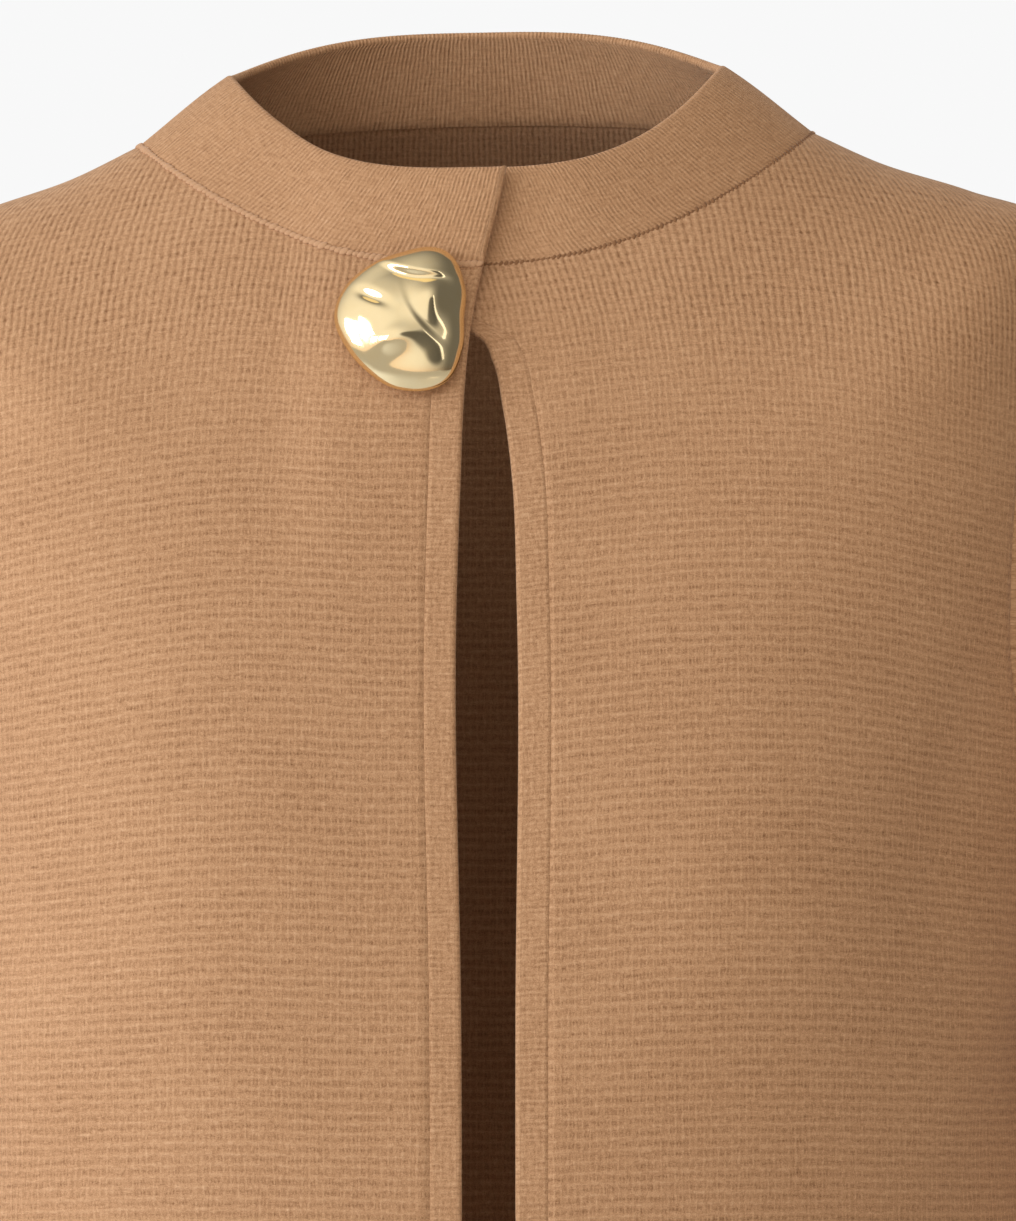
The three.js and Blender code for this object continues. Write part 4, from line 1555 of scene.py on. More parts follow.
@dataclass
class Neckband:
    """The standing neckband of doubled rib. Millimetres."""

    form: WornForm
    wall: float = 3.0
    rib_pitch: float = 1.5
    rib_rise: float = 0.07
    columns: int = 2000
    rises: int = 10
    samples: int = 4000
    end_space: float = 2
    gather: float = 0.93
    lean: float = 0.26
    tuck: float = 0.06
    tuck_angles: tuple[float, float] = (0, -14)
    finish: RibKnit = field(default_factory=RibKnit)

    def end_angle(self, side: Side, rise: Array) -> Array:
        """Give the angle of a front's edge on the band.

        Args:
            side: The front's side.
            rise: Shares of the band's height.

        Returns:
            The angles, in degrees.
        """
        seam = self.form.rings[0]
        top = self.form.collar_top
        front = seam[2] + (top[1] - seam[2]) * rise
        z = seam[4] + (top[3] - seam[4]) * rise
        return np.degrees(np.arcsin(self.form.edge_x(side, z) / front))

    def sheet(self) -> Sheet:
        """Lay out the band, from the left front's edge round the back to the right front's.

        Returns:
            The band's sheet.
        """
        start = float(self.end_angle(Side.LEFT, np.array(0.0)))
        end = float(self.end_angle(Side.RIGHT, np.array(0.0))) + 360
        fine = np.linspace(start, end, self.samples)
        line = self.form.point(fine, np.zeros_like(fine), None)
        lengths = np.concatenate([[0], np.cumsum(np.linalg.norm(np.diff(line, axis=0), axis=1))])
        whole = lengths[-1]
        inner = np.linspace(self.end_space, whole - self.end_space, self.columns - 2)
        places = np.concatenate([[0], inner, [whole]])
        base = np.interp(places, lengths, fine)
        rises = np.linspace(1, 0, self.rises + 1)
        rows, normals = [], []
        for rise in rises:
            angles = base.copy()
            for side, middle, chosen in (
                (Side.LEFT, 90.0, base < 90),
                (Side.RIGHT, 270.0, base > 270),
            ):
                edge = 0 if side is Side.LEFT else 360
                now = float(self.end_angle(side, np.array(rise))) + edge
                was = float(self.end_angle(side, np.array(0.0))) + edge
                angles[chosen] = middle + (base[chosen] - middle) * (now - middle) / (was - middle)
            parts = (
                (Layer.LEFT, base < 90),
                (Layer.BACK, (base >= 90) & (base <= 270)),
                (Layer.RIGHT, base > 270),
            )
            points, directions = np.zeros((len(base), 3)), np.zeros((len(base), 3))
            for layer, chosen in parts:
                kept = np.full(chosen.sum(), rise)
                if layer is Layer.LEFT:
                    tuck = self.tuck * smooth(*self.tuck_angles, angles[chosen])
                    kept = rise * (1 - tuck)
                points[chosen] = self.form.collar_point(angles[chosen], kept, layer)
                run = np.full(chosen.sum(), -rise * self.form.collar_height)
                directions[chosen] = self.form.normal(angles[chosen], run, layer)
            rows.append(points)
            normals.append(directions)
        u = places * self.gather
        v = rises * self.form.collar_height
        angle = np.radians(base)
        sheared = self.lean * np.sin(2 * angle) * (np.cos(angle) > 0)
        across = u[None, :] + v[:, None] * sheared[None, :]
        flat = np.stack([across, np.broadcast_to(v[:, None], across.shape)], axis=-1)
        return Sheet(np.array(rows), np.array(normals), flat * MM)

    def build(self) -> None:
        """Make the band and raise its ribs."""
        half = self.wall / 2
        rim = Rim(top=half, end=half, foot=0.5, start=half, let_out=(0, 0, 0.15, 0), steps=8)
        piece = add_object("neckband_rib", wall_mesh("neckband", self.sheet(), self.wall, rim))
        RibRelief(self.rib_pitch, self.rib_rise).raise_ribs(piece, self.finish.material())
        hang(piece, "neckband", self.finish)


def start_tree(
    name: str, kinds: Mapping[str, str]
) -> tuple[NodeTree, bpy.types.Node, dict[str, str]]:
    """Start a Geometry Nodes tree that takes a geometry, some sizes and a material.

    Args:
        name: The tree's name.
        kinds: The kind of each size's input, by the input's name.

    Returns:
        The tree, its input node and the identifiers of its inputs by name.
    """
    group = bpy.data.node_groups.new(name, "GeometryNodeTree")
    every = {"Geometry": "Geometry", **kinds, "Material": "Material"}
    names = {}
    for key, kind in every.items():
        made = group.interface.new_socket(key, in_out="INPUT", socket_type=f"NodeSocket{kind}")
        names[key] = made.identifier
    group.interface.new_socket("Geometry", in_out="OUTPUT", socket_type="NodeSocketGeometry")
    tree = NodeTree(group)
    return tree, tree.node("NodeGroupInput"), names


def end_tree(tree: NodeTree, given: bpy.types.Node, made: bpy.types.Node) -> None:
    """End a Geometry Nodes tree in real geometry that wears the given material.

    Args:
        tree: The tree.
        given: Its input node.
        made: The node whose geometry it gives.
    """
    realized = tree.node("GeometryNodeRealizeInstances", {}, {0: made.outputs[0]})
    dressed = tree.node(
        "GeometryNodeSetMaterial",
        {},
        {"Geometry": realized.outputs[0], "Material": given.outputs["Material"]},
    )
    tree.node("NodeGroupOutput", {}, {0: dressed.outputs[0]})


@dataclass(frozen=True)
class RibRelief:
    """Raises ribs on a cloth wall, by a tree of nodes that reads its flat cut. Millimetres."""

    pitch: float
    rise: float

    def tree(self) -> tuple[NodeTree, dict[str, str]]:
        """Build the tree and give the identifiers of its inputs.

        Returns:
            The tree, and the identifiers of its inputs by name.
        """
        tree, given, names = start_tree("rib_relief", {"Pitch": "Float", "Rise": "Float"})
        flat = tree.node(
            "GeometryNodeInputNamedAttribute", {"data_type": "FLOAT_VECTOR"}, {"Name": UV_NAME}
        )
        across = tree.value(tree.node("ShaderNodeSeparateXYZ", {}, {0: flat.outputs[0]}), 0)
        turns = across / tree.value(given, "Pitch") * (2 * math.pi)
        rise = turns.cosine() * tree.value(given, "Rise") * 0.5
        normal = tree.node("GeometryNodeInputNormal")
        offset = tree.node(
            "ShaderNodeVectorMath", {"operation": "SCALE"}, {0: normal.outputs[0], "Scale": rise}
        )
        moved = tree.node(
            "GeometryNodeSetPosition",
            {},
            {"Geometry": given.outputs["Geometry"], "Offset": offset.outputs[0]},
        )
        end_tree(tree, given, moved)
        return tree, names

    def raise_ribs(self, piece: bpy.types.Object, material: bpy.types.Material) -> None:
        """Replace a piece's mesh with one that has the ribs.

        Args:
            piece: The cloth wall.
            material: What it wears.
        """
        sizes = {"Pitch": self.pitch * MM, "Rise": self.rise * MM}
        settle(piece, *self.tree(), {**sizes, "Material": material})


def settle(
    piece: bpy.types.Object,
    tree: NodeTree,
    names: Mapping[str, str],
    inputs: Mapping[str, object],
) -> None:
    """Run a Geometry Nodes tree on a piece and keep its result as a plain mesh.

    Args:
        piece: The object.
        tree: The tree.
        names: The identifiers of its inputs by name.
        inputs: The modifier's inputs by name.
    """
    modifier = piece.modifiers.new(tree.tree.name, "NODES")
    modifier.node_group = tree.tree
    for name, value in inputs.items():
        modifier[names[name]] = value
    keep_result(piece)


def keep_result(piece: bpy.types.Object) -> None:
    """Keep the result of a piece's modifiers as its plain mesh.

    Args:
        piece: The object.
    """
    bpy.context.view_layer.update()
    depsgraph = bpy.context.evaluated_depsgraph_get()
    made = bpy.data.meshes.new_from_object(
        piece.evaluated_get(depsgraph), preserve_all_data_layers=True, depsgraph=depsgraph
    )
    piece.modifiers.clear()
    made.name = piece.data.name
    piece.data = made


@dataclass(frozen=True)
class StitchRow:
    """A row of raised stitches along a line of cloth. Millimetres and degrees."""

    pitch: float = 1.7
    long: float = 2.3
    wide: float = 0.95
    thick: float = 0.8
    slant: float = 32
    slant_vary: float = 9
    size_vary: float = 0.14
    seed: int = 4
    segments: int = 10
    rings: int = 6

    def tree(self) -> tuple[NodeTree, dict[str, str]]:
        """Build the tree that sews the stitches and give the identifiers of its inputs.

        Returns:
            The tree, and the identifiers of its inputs by name.
        """
        floats = dict.fromkeys(("Pitch", "Slant", "Slant Vary", "Size Vary"), "Float")
        kinds = {**floats, "Size": "Vector", "Seed": "Int"}
        tree, given, names = start_tree("stitch_row", kinds)
        curve = tree.node("GeometryNodeMeshToCurve", {}, {0: given.outputs["Geometry"]})
        spaced = tree.node(
            "GeometryNodeResampleCurve",
            {"mode": "LENGTH"},
            {"Curve": curve.outputs[0], "Length": given.outputs["Pitch"]},
        )
        out = tree.node(
            "GeometryNodeInputNamedAttribute", {"data_type": "FLOAT_VECTOR"}, {"Name": OUT_NAME}
        )
        tangent = tree.node("GeometryNodeInputTangent")
        flat = tree.node(
            "FunctionNodeAlignRotationToVector", {"axis": "Z"}, {"Vector": out.outputs[0]}
        )
        along = tree.node(
            "FunctionNodeAlignRotationToVector",
            {"axis": "X", "pivot_axis": "Z"},
            {"Rotation": flat.outputs[0], "Vector": tangent.outputs[0]},
        )
        vary = tree.node(
            "FunctionNodeRandomValue",
            {"data_type": "FLOAT"},
            {"Min_001": -1.0, "Max_001": 1.0, "Seed": given.outputs["Seed"]},
        )
        wander = tree.value(vary, "Value_001")
        slant = tree.value(given, "Slant") + wander * tree.value(given, "Slant Vary")
        twist = tree.node("ShaderNodeCombineXYZ", {}, {"Z": slant})
        turn = tree.node("FunctionNodeEulerToRotation", {}, {0: twist.outputs[0]})
        turned = tree.node(
            "FunctionNodeRotateRotation",
            {"rotation_space": "LOCAL"},
            {"Rotation": along.outputs[0], "Rotate By": turn.outputs[0]},
        )
        grown = tree.node(
            "ShaderNodeVectorMath",
            {"operation": "SCALE"},
            {0: given.outputs["Size"], "Scale": wander * tree.value(given, "Size Vary") + 1.0},
        )
        ball = tree.node(
            "GeometryNodeMeshUVSphere",
            {},
            {"Segments": self.segments, "Rings": self.rings, "Radius": 0.5},
        )
        smooth_ball = tree.node(
            "GeometryNodeSetShadeSmooth", {}, {"Geometry": ball.outputs["Mesh"]}
        )
        sewn = tree.node(
            "GeometryNodeInstanceOnPoints",
            {},
            {
                "Points": spaced.outputs[0],
                "Instance": smooth_ball.outputs[0],
                "Rotation": turned.outputs[0],
                "Scale": grown.outputs[0],
            },
        )
        end_tree(tree, given, sewn)
        return tree, names

    def sew(self, name: str, line: Array, out: Array, finish: Finish) -> None:
        """Sew the row as a piece of its own.

        Args:
            name: The piece's name.
            line: Points along the line, in millimetres.
            out: The cloth's outward direction at each.
            finish: The yarn.
        """
        mesh = bpy.data.meshes.new(name)
        count = len(line)
        mesh.from_pydata((line * MM).tolist(), [(k, k + 1) for k in range(count - 1)], [])
        kept = mesh.attributes.new(OUT_NAME, "FLOAT_VECTOR", "POINT")
        kept.data.foreach_set("vector", out.reshape(-1).astype(np.float32))
        piece = add_object(name, mesh)
        inputs = {
            "Pitch": self.pitch * MM,
            "Slant": math.radians(self.slant),
            "Slant Vary": math.radians(self.slant_vary),
            "Size Vary": self.size_vary,
            "Size": tuple(size * MM for size in (self.long, self.wide, self.thick)),
            "Seed": self.seed,
            "Material": finish.material(),
        }
        settle(piece, *self.tree(), inputs)
        finish.dress(piece)
        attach(piece, ROOT)
        report(piece)


@dataclass
class NeckSeam:
    """The linking of the neckband: a raised ridge on the right front in a lighter yarn, painted
    light, and a sunk one on the left in a darker yarn, painted shade.
    """

    form: WornForm
    raised: float = 0.22
    sunk: float = -0.12
    back_share: float = 0.5
    inset: float = 1.2
    steps_per_degree: int = 3
    raised_yarn: YarnFinish = RAISED_YARN
    painted_shade_yarn: YarnFinish = YARN_IN_SHADE
    right_row: StitchRow = StitchRow(pitch=1.9, long=3.1, wide=2.1, thick=1.0, size_vary=0.22)
    left_row: StitchRow = StitchRow(
        long=2.2, wide=1.15, thick=0.6, slant=52, size_vary=0.25, seed=9
    )
    back_row: StitchRow = StitchRow(seed=12)

    def line(self, start: float, end: float, layer: Layer, lift: float) -> tuple[Array, Array]:
        """Lay a stretch of the seam; angles in degrees, lift in millimetres.

        Args:
            start: Where it starts.
            end: Where it ends.
            layer: The part of the body.
            lift: How far it stands out.

        Returns:
            The points, and the outward direction at each.
        """
        count = int(abs(end - start) * self.steps_per_degree) + 2
        angles = np.linspace(start, end, count)
        zero = np.zeros_like(angles)
        out = self.form.normal(angles, zero, layer)
        return self.form.point(angles, zero, layer) + out * lift, out

    def build(self) -> None:
        """Sew the seam."""
        left = float(self.form.edge_angle(Side.LEFT, np.array(0.0), self.inset))
        right = float(self.form.edge_angle(Side.RIGHT, np.array(0.0), self.inset))
        lift = self.raised * self.back_share
        parts = (
            ("right", self.right_row, self.raised_yarn, (-90.0, right, Layer.RIGHT, self.raised)),
            ("left", self.left_row, self.painted_shade_yarn, (left, 90.0, Layer.LEFT, self.sunk)),
            ("back", self.back_row, self.raised_yarn, (90.0, 270.0, Layer.BACK, lift)),
        )
        for word, row, yarn, stretch in parts:
            row.sew(f"neck_linking_{word}", *self.line(*stretch), yarn)


# ---------------------------------------------------------------- sleeves


@dataclass
class Sleeves:
    """The set-in sleeves, worked out on the wearer's left and mirrored for the right."""

    form: WornForm
    cut: CutMap
    wall: float = 2.2
    # x, y, z, across, deep
    rings: tuple[tuple[float, ...], ...] = (
        (243, -2, -262, 51, 61),
        (247, 1, -330, 50, 58),
        (248, 3, -400, 48, 54),
        (247, -5, -470, 45, 50),
        (246, -20, -545, 42, 44),
        (246, -36, -622, 39, 41),
    )
    # z, around, reach, width, slant, depth
    creases: tuple[tuple[float, ...], ...] = (
        (-300, 150, 60, 10, 14, 4),
        (-372, 80, 58, 10, -12, 5),
        (-402, 100, 62, 9, 10, 6),
        (-436, 75, 50, 10, -8, 4),
        (-356, 285, 48, 13, 12, 3),
        (-520, 200, 70, 12, 12, 3),
        (-580, 60, 75, 11, -10, 3),
    )
    crease_drop: float = 14
    cap_fullness: float = 0.7
    cap_drop: float = 0.35
    cap_reach: float = 0.9
    cap_end: float = 0.2
    cap_top_spread: float = 50
    underarm_turn: float = 62
    seam: float = 0.4
    rib: float = 0.5
    rib_heights: tuple[float, float] = (-140, -60)
    cap_steps: int = 26
    sleeve_steps: int = 110
    finish: BodyKnit = field(default_factory=BodyKnit)

    def ring_at(self, place: Array) -> list[Array]:
        """Read the sleeve's ring at places from 0 at the cap to the cuff.

        Args:
            place: From 0 at the cap to the cuff.

        Returns:
            The ring's columns, each read at every place.
        """
        table = np.array(self.rings, float).T
        index = np.arange(len(self.rings), dtype=float)
        return [through(index, column, place) for column in table]

    def swell(self, around: Array, z: Array, side: Side) -> Array:
        """Sum the creases at places of the sleeve.

        Args:
            around: Degrees round the sleeve.
            z: Heights.
            side: The sleeve's side.

        Returns:
            How far each place stands out.
        """
        total = np.zeros(np.broadcast(around, z).shape)
        for middle, at, reach, width, slant, depth in self.creases:
            turn = turn_to(at, around)
            drop = self.crease_drop if side is Side.RIGHT else 0
            height = z - (middle - drop) - slant * turn / 90
            total -= depth * bell(height, 0, width) * bell(turn, 0, reach)
        return total

    def point(self, place: Array, around: Array, side: Side) -> Array:
        """Place points below the cap; around is 0 outside, 90 in front and 180 at the body.

        Args:
            place: From 0 at the cap to the cuff.
            around: Degrees round the sleeve.
            side: The sleeve's side.

        Returns:
            Points, with x, y and z on the last axis.
        """
        place, around = np.broadcast_arrays(np.asarray(place, float), np.asarray(around, float))
        last, step = len(self.rings) - 1, 0.05
        x, y, z, across, deep = self.ring_at(place)
        after = np.stack(self.ring_at(np.minimum(place + step, last))[:3], axis=-1)
        before = np.stack(self.ring_at(np.maximum(place - step, 0))[:3], axis=-1)
        down = unit(after - before)
        out = unit(np.array([1.0, 0, 0]) - down * down[..., :1])
        forth = np.cross(out, down)
        a = np.radians(around)
        swell = self.swell(around, z, side)
        middle = np.stack([x, y, z], axis=-1)
        return (
            middle
            + out * ((across + swell) * np.cos(a))[..., None]
            - forth * ((deep + swell) * np.sin(a))[..., None]
        )

    def armhole(self, side: Side) -> tuple[Array, Array]:
        """Give the points and normals of the armhole's loop, mirrored to the wearer's left.

        Args:
            side: The armhole's side.

        Returns:
            Points and normals.
        """
        runs = body_runs(self.form)
        runs = runs[(runs >= self.form.shoulder_tip) & (runs <= self.form.underarm)]
        scoop = self.form.scoop(runs)
        hand = side.value
        front = (hand * (90 - scoop), runs, side.layer)
        back = (hand * (90 + scoop[1:-1][::-1]), runs[1:-1][::-1], Layer.BACK)
        points = np.concatenate([self.form.point(*part) for part in (front, back)])
        normals = np.concatenate([self.form.normal(*part) for part in (front, back)])
        flip = np.array([hand, 1, 1])
        return points * flip, normals * flip

    @staticmethod
    def loop_turns(points: Array) -> Array:
        """Give how far round the sleeve each place of the armhole's loop comes, in degrees.

        Args:
            points: The loop's points, in order.

        Returns:
            Degrees, one for each point.
        """
        steps = np.linalg.norm(np.roll(points, -1, axis=0) - points, axis=1)
        lengths = np.concatenate([[0], np.cumsum(steps)])
        under = int(np.argmin(points[:, 2]))
        turns = 180 * lengths[:-1] / lengths[under]
        rest = 180 + 180 * (lengths[:-1] - lengths[under]) / (lengths[-1] - lengths[under])
        return np.where(np.arange(len(points)) <= under, turns, rest)

    def cap(self, edge: Array, away: Array, normal: Array, turns: Array, side: Side) -> Array:
        """Lay out the cap's rows from the armhole to the sleeve's first ring.

        Args:
            edge: The sleeve's edge at the armhole.
            away: The direction in which it leaves the body.
            normal: The body's outward direction there.
            turns: Degrees round the sleeve.
            side: The sleeve's side.

        Returns:
            Rows of points.
        """
        to = self.point(np.zeros_like(turns), turns, side)
        far = np.linalg.norm(to - edge, axis=1, keepdims=True)
        straight = unit(to - edge)
        free = (1 - bell(turn_to(0, turns), 0, self.cap_top_spread))[:, None]
        leave = away + straight * (self.cap_drop + (1 - self.cap_drop) * free)
        leave = unit(leave + normal * self.cap_fullness * free) * far * self.cap_reach
        arrive = self.point(np.full_like(turns, self.cap_end), turns, side) - to
        arrive = unit(arrive) * far * self.cap_reach
        weights = cubic(np.linspace(0, 1, self.cap_steps + 1)[:, None, None])
        return edge * weights[0] + leave * weights[1] + to * weights[2] + arrive * weights[3]

    def sheet(self, side: Side) -> Sheet:
        """Lay out one sleeve, with its long seam under the arm.

        Args:
            side: The sleeve's side.

        Returns:
            Its outer face.
        """
        points, normals = self.armhole(side)
        turns = self.loop_turns(points)
        along = unit(np.roll(points, -1, axis=0) - np.roll(points, 1, axis=0))
        away = unit(np.cross(normals, along))
        edge = points + away * self.seam / 2
        cap = self.cap(edge, away, normals, turns, side)
        last = len(self.rings) - 1
        places = np.linspace(0, last, self.sleeve_steps + 1)[1:]
        below = self.point(places[:, None], turns[None, :], side)
        rows = np.concatenate([cap, below])
        across = np.roll(rows, -1, axis=1) - np.roll(rows, 1, axis=1)
        index = np.arange(len(rows))
        down = rows[np.minimum(index + 1, len(rows) - 1)] - rows[np.maximum(index - 1, 0)]
        outward = unit(np.cross(across, down))
        share = bell(turns, 180, self.underarm_turn)[:, None]
        outward[0] = unit(normals * (1 - share) + outward[0] * share)
        under = int(np.argmin(points[:, 2]))
        rows, outward = np.roll(rows, -under, axis=1), np.roll(outward, -under, axis=1)
        flat = self.flat(rows, len(points) - under)
        flip = np.array([side.value, 1, 1])
        rib = self.rib * smooth(*self.rib_heights, rows[..., 2])
        return Sheet(rows * flip, outward * flip, flat, closed=True, rib=rib)

    def flat(self, rows: Array, top: int) -> Array:
        """Lay the sleeve flat.

        Args:
            rows: Its points, with the underarm seam first.
            top: The column over the shoulder tip.

        Returns:
            Flat places in metres, with one more column than the points have.
        """
        ring = np.concatenate([rows, rows[:, :1]], axis=1)
        steps = np.linalg.norm(np.diff(ring, axis=1)[..., :2], axis=2)
        lengths = np.concatenate([np.zeros((len(rows), 1)), np.cumsum(steps, axis=1)], axis=1)
        u = lengths - lengths[:, [top]]
        line = rows[:, top]
        fall = np.concatenate([[0], np.cumsum(np.linalg.norm(np.diff(line, axis=0), axis=1))])
        v = -np.interp(-ring[..., 2], -line[:, 2], fall)
        return np.stack([u, v], axis=-1) * MM

    def build(self) -> None:
        """Make both sleeves."""
        for side in Side:
            name = f"sleeve_{side.word}"
            rim = Rim(let_out=(0.5, 0.2, 0.0, 0.2))
            piece = add_object(f"{name}_knit", wall_mesh(name, self.sheet(side), self.wall, rim))
            hang(piece, name, self.finish)


# ---------------------------------------------------------------- the button


@dataclass(frozen=True)
class Dent:
    """A hollow, or with a negative depth a boss, in the pebble's face. Millimetres, degrees."""

    x: float
    z: float
    turn: float
    long: float
    wide: float
    depth: float

    def local(self, x: Array, z: Array) -> tuple[Array, Array]:
        """Give places along and across the dent.

        Args:
            x: Places across the button.
            z: Places up the button.

        Returns:
            The places along it, and across it.
        """
        a = math.radians(self.turn)
        dx, dz = x - self.x, z - self.z
        return dx * math.cos(a) + dz * math.sin(a), dz * math.cos(a) - dx * math.sin(a)

    def depth_at(self, x: Array, z: Array) -> Array:
        """Give the hollow's depth."""
        along, across = self.local(x, z)
        return self.depth * bell(along, 0, self.long) * bell(across, 0, self.wide)


@dataclass(frozen=True)
class Fold(Dent):
    """A fold of the metal: the face drops sharply on one side of a line and eases on the other."""

    sharp: float = 1.1
    bend: float = 0.0

    def depth_at(self, x: Array, z: Array) -> Array:
        """Give the fold's depth, deepest just below its line.

        Args:
            x: Places across the button.
            z: Places up the button.

        Returns:
            The depth at each place.
        """
        along, across = self.local(x, z)
        off = across - self.bend * along**2
        drop = smooth(self.sharp, -self.sharp, off) * np.exp(np.minimum(0, off) / self.wide)
        return self.depth * bell(along, 0, self.long) * drop


@dataclass(frozen=True)
class ButtonSeat:
    """Where the button is sewn to the left front. Millimetres and degrees."""

    form: WornForm
    x: float = -17
    z: float = -49.5
    lean: float = 26

    def placing(self) -> Matrix:
        """Give the matrix from the button's own millimetres to the coat's.

        Returns:
            The matrix.
        """
        found = self.form.find(np.array(self.x), np.array(self.z), Layer.LEFT)
        spot = self.form.point(*found, Layer.LEFT)
        turn = Euler((math.radians(-self.lean), 0, 0)).to_matrix().to_4x4()
        return Matrix.Translation(Vector(spot)) @ turn


def moved_by(matrix: Matrix, points: Array) -> Array:
    """Move points by a matrix."""
    table = np.array(matrix)
    return points @ table[:3, :3].T + table[:3, 3]


@dataclass
class PebbleButton:
    """The cast pebble with the loop on its back. Millimetres."""

    seat: ButtonSeat
    radii: tuple[float, ...] = (20.5, 23.8, 28, 23.2, 21, 20.8, 21, 20.2, 21.8, 25.8, 27.5, 23)
    crown: float = 10.5
    rim: float = 2
    roundness: float = 0.6
    lift: float = 6.2
    offset: tuple[float, float] = (-7, -14)
    around: int = 240
    rings: int = 100
    dents: tuple[Dent, ...] = (
        Fold(2, 13, -20, 15, 11.0, 3.0, 1.6, 0.022),
        Fold(6, -5, 126, 9, 6.0, 1.3, 1.7, -0.018),
        Dent(-9, 3.5, -34, 5.5, 2.0, 1.9),
        Dent(10, 3, 66, 7.0, 5.0, -2.8),
        Dent(-2, -12, 20, 7.5, 4.2, -2.5),
        Dent(-9, -4, 60, 9, 8, -1.0),
    )
    dent_fade: float = 0.42
    # share of the outline, height; from the middle of the back to its edge
    back: tuple[tuple[float, float], ...] = (
        (0.004, 0.0),
        (0.3, 0.0),
        (0.6, 0.0),
        (0.82, 0.25),
        (0.93, 0.7),
        (0.985, 1.3),
    )
    pole: float = 0.004
    shank_ring: float = 2.1
    shank_wire: float = 0.7
    shank_sunk: float = 0.3
    shank_steps: tuple[int, int] = (32, 14)
    finish: PolishedGold = field(default_factory=PolishedGold)

    def outline(self, angle: Array) -> Array:
        """Give the outline's radius at each angle, a smooth closed curve through the radii.

        Args:
            angle: Degrees.

        Returns:
            The radii there.
        """
        count = len(self.radii)
        place = (angle % 360) / (360 / count)
        i = np.floor(place).astype(int)
        t = place - i
        table = np.array(self.radii)
        before, here, after, far = (table[(i + k) % count] for k in (-1, 0, 1, 2))
        bend = 2 * before - 5 * here + 4 * after - far
        twist = -before + 3 * here - 3 * after + far
        return here + 0.5 * t * (after - before + t * (bend + t * twist))

    def face(self, share: Array, x: Array, z: Array) -> Array:
        """Give the height of the pebble's face over its back.

        Args:
            share: From 0 in the middle to 1 at the rim.
            x: Places across the button.
            z: Places up the button.

        Returns:
            The height at each place.
        """
        dome = self.crown * np.maximum(0, 1 - share**2) ** self.roundness
        dent = sum(dent.depth_at(x, z) for dent in self.dents)
        return self.rim + dome - dent * smooth(0, self.dent_fade, 1 - share)

    def pebble(self, maker: MeshMaker) -> None:
        """Add the pebble, as a grid from a point on its back to a point on its face.

        Args:
            maker: What collects the button's faces.
        """
        angles = np.radians(np.arange(self.around) * 360 / self.around)
        radius = self.outline(np.degrees(angles))
        back = self.back
        turns = np.linspace(0, math.pi / 2, self.rings)
        shares = [share for share, _ in back] + list(np.maximum(np.cos(turns), self.pole))
        grid = []
        for k, share in enumerate(shares):
            x, z = share * radius * np.cos(angles), share * radius * np.sin(angles)
            wide = np.full_like(radius, share)
            height = np.full_like(x, back[k][1]) if k < len(back) else self.face(wide, x, z)
            grid.append(np.stack([x, -height, z], -1))
        move = np.array([self.offset[0], -self.lift, self.offset[1]])
        points = moved_by(self.seat.placing(), np.array(grid) + move)
        add_tube(maker, points)

    def shank(self, maker: MeshMaker) -> None:
        """Add the loop on the pebble's back.

        Args:
            maker: What collects the button's faces.
        """
        a, b = (np.linspace(0, 2 * math.pi, n, endpoint=False) for n in self.shank_steps)
        a, b = a[:, None], b[None, :]
        reach = self.shank_ring + self.shank_wire * np.cos(b)
        middle = -self.lift + self.shank_ring + self.shank_wire - self.shank_sunk
        ring = np.stack(
            [
                self.shank_wire * np.sin(b) + 0 * a,
                middle + reach * np.cos(a),
                reach * np.sin(a),
            ],
            -1,
        )
        add_ring(maker, moved_by(self.seat.placing(), ring))

    def build(self) -> None:
        """Make the button."""
        maker = MeshMaker()
        self.pebble(maker)
        self.shank(maker)
        piece = add_object("pebble_button", maker.mesh("button"))
        self.finish.dress(piece)
        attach(piece, ROOT)
        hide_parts("button")
        report(piece)


def ring_quads(index: Array) -> Array:
    """Give the faces of a grid of vertices whose columns close on themselves."""
    right = np.roll(index, -1, axis=1)
    return np.stack([index[:-1], right[:-1], right[1:], index[1:]], axis=-1)


def add_tube(maker: MeshMaker, grid: Array) -> None:
    """Add a closed skin through a grid whose columns close, with its first and last rows shut.

    Args:
        maker: What collects the faces.
        grid: The points, in millimetres.
    """
    rows, cols = grid.shape[:2]
    index = np.arange(rows * cols).reshape(rows, cols) + maker.add_points(grid)
    quads = [ring_quads(index).reshape(-1, 4)]
    half = cols // 2
    for row, flip in ((index[0], True), (index[-1], False)):
        low = np.arange(half - 1)
        cap = np.stack([row[low], row[low + 1], row[cols - 2 - low], row[cols - 1 - low]], -1)
        quads.append(cap[:, ::-1] if flip else cap)
    every = np.concatenate(quads)
    maker.add_quads(every, np.zeros((len(every), 4, 2)))


def add_ring(maker: MeshMaker, grid: Array) -> None:
    """Add a skin through a grid that closes both ways.

    Args:
        maker: What collects the faces.
        grid: The points.
    """
    rows, cols = grid.shape[:2]
    index = np.arange(rows * cols).reshape(rows, cols) + maker.add_points(grid)
    quads = ring_quads(np.concatenate([index, index[:1]]))
    maker.add_quads(quads, np.zeros((*quads.shape, 2)))


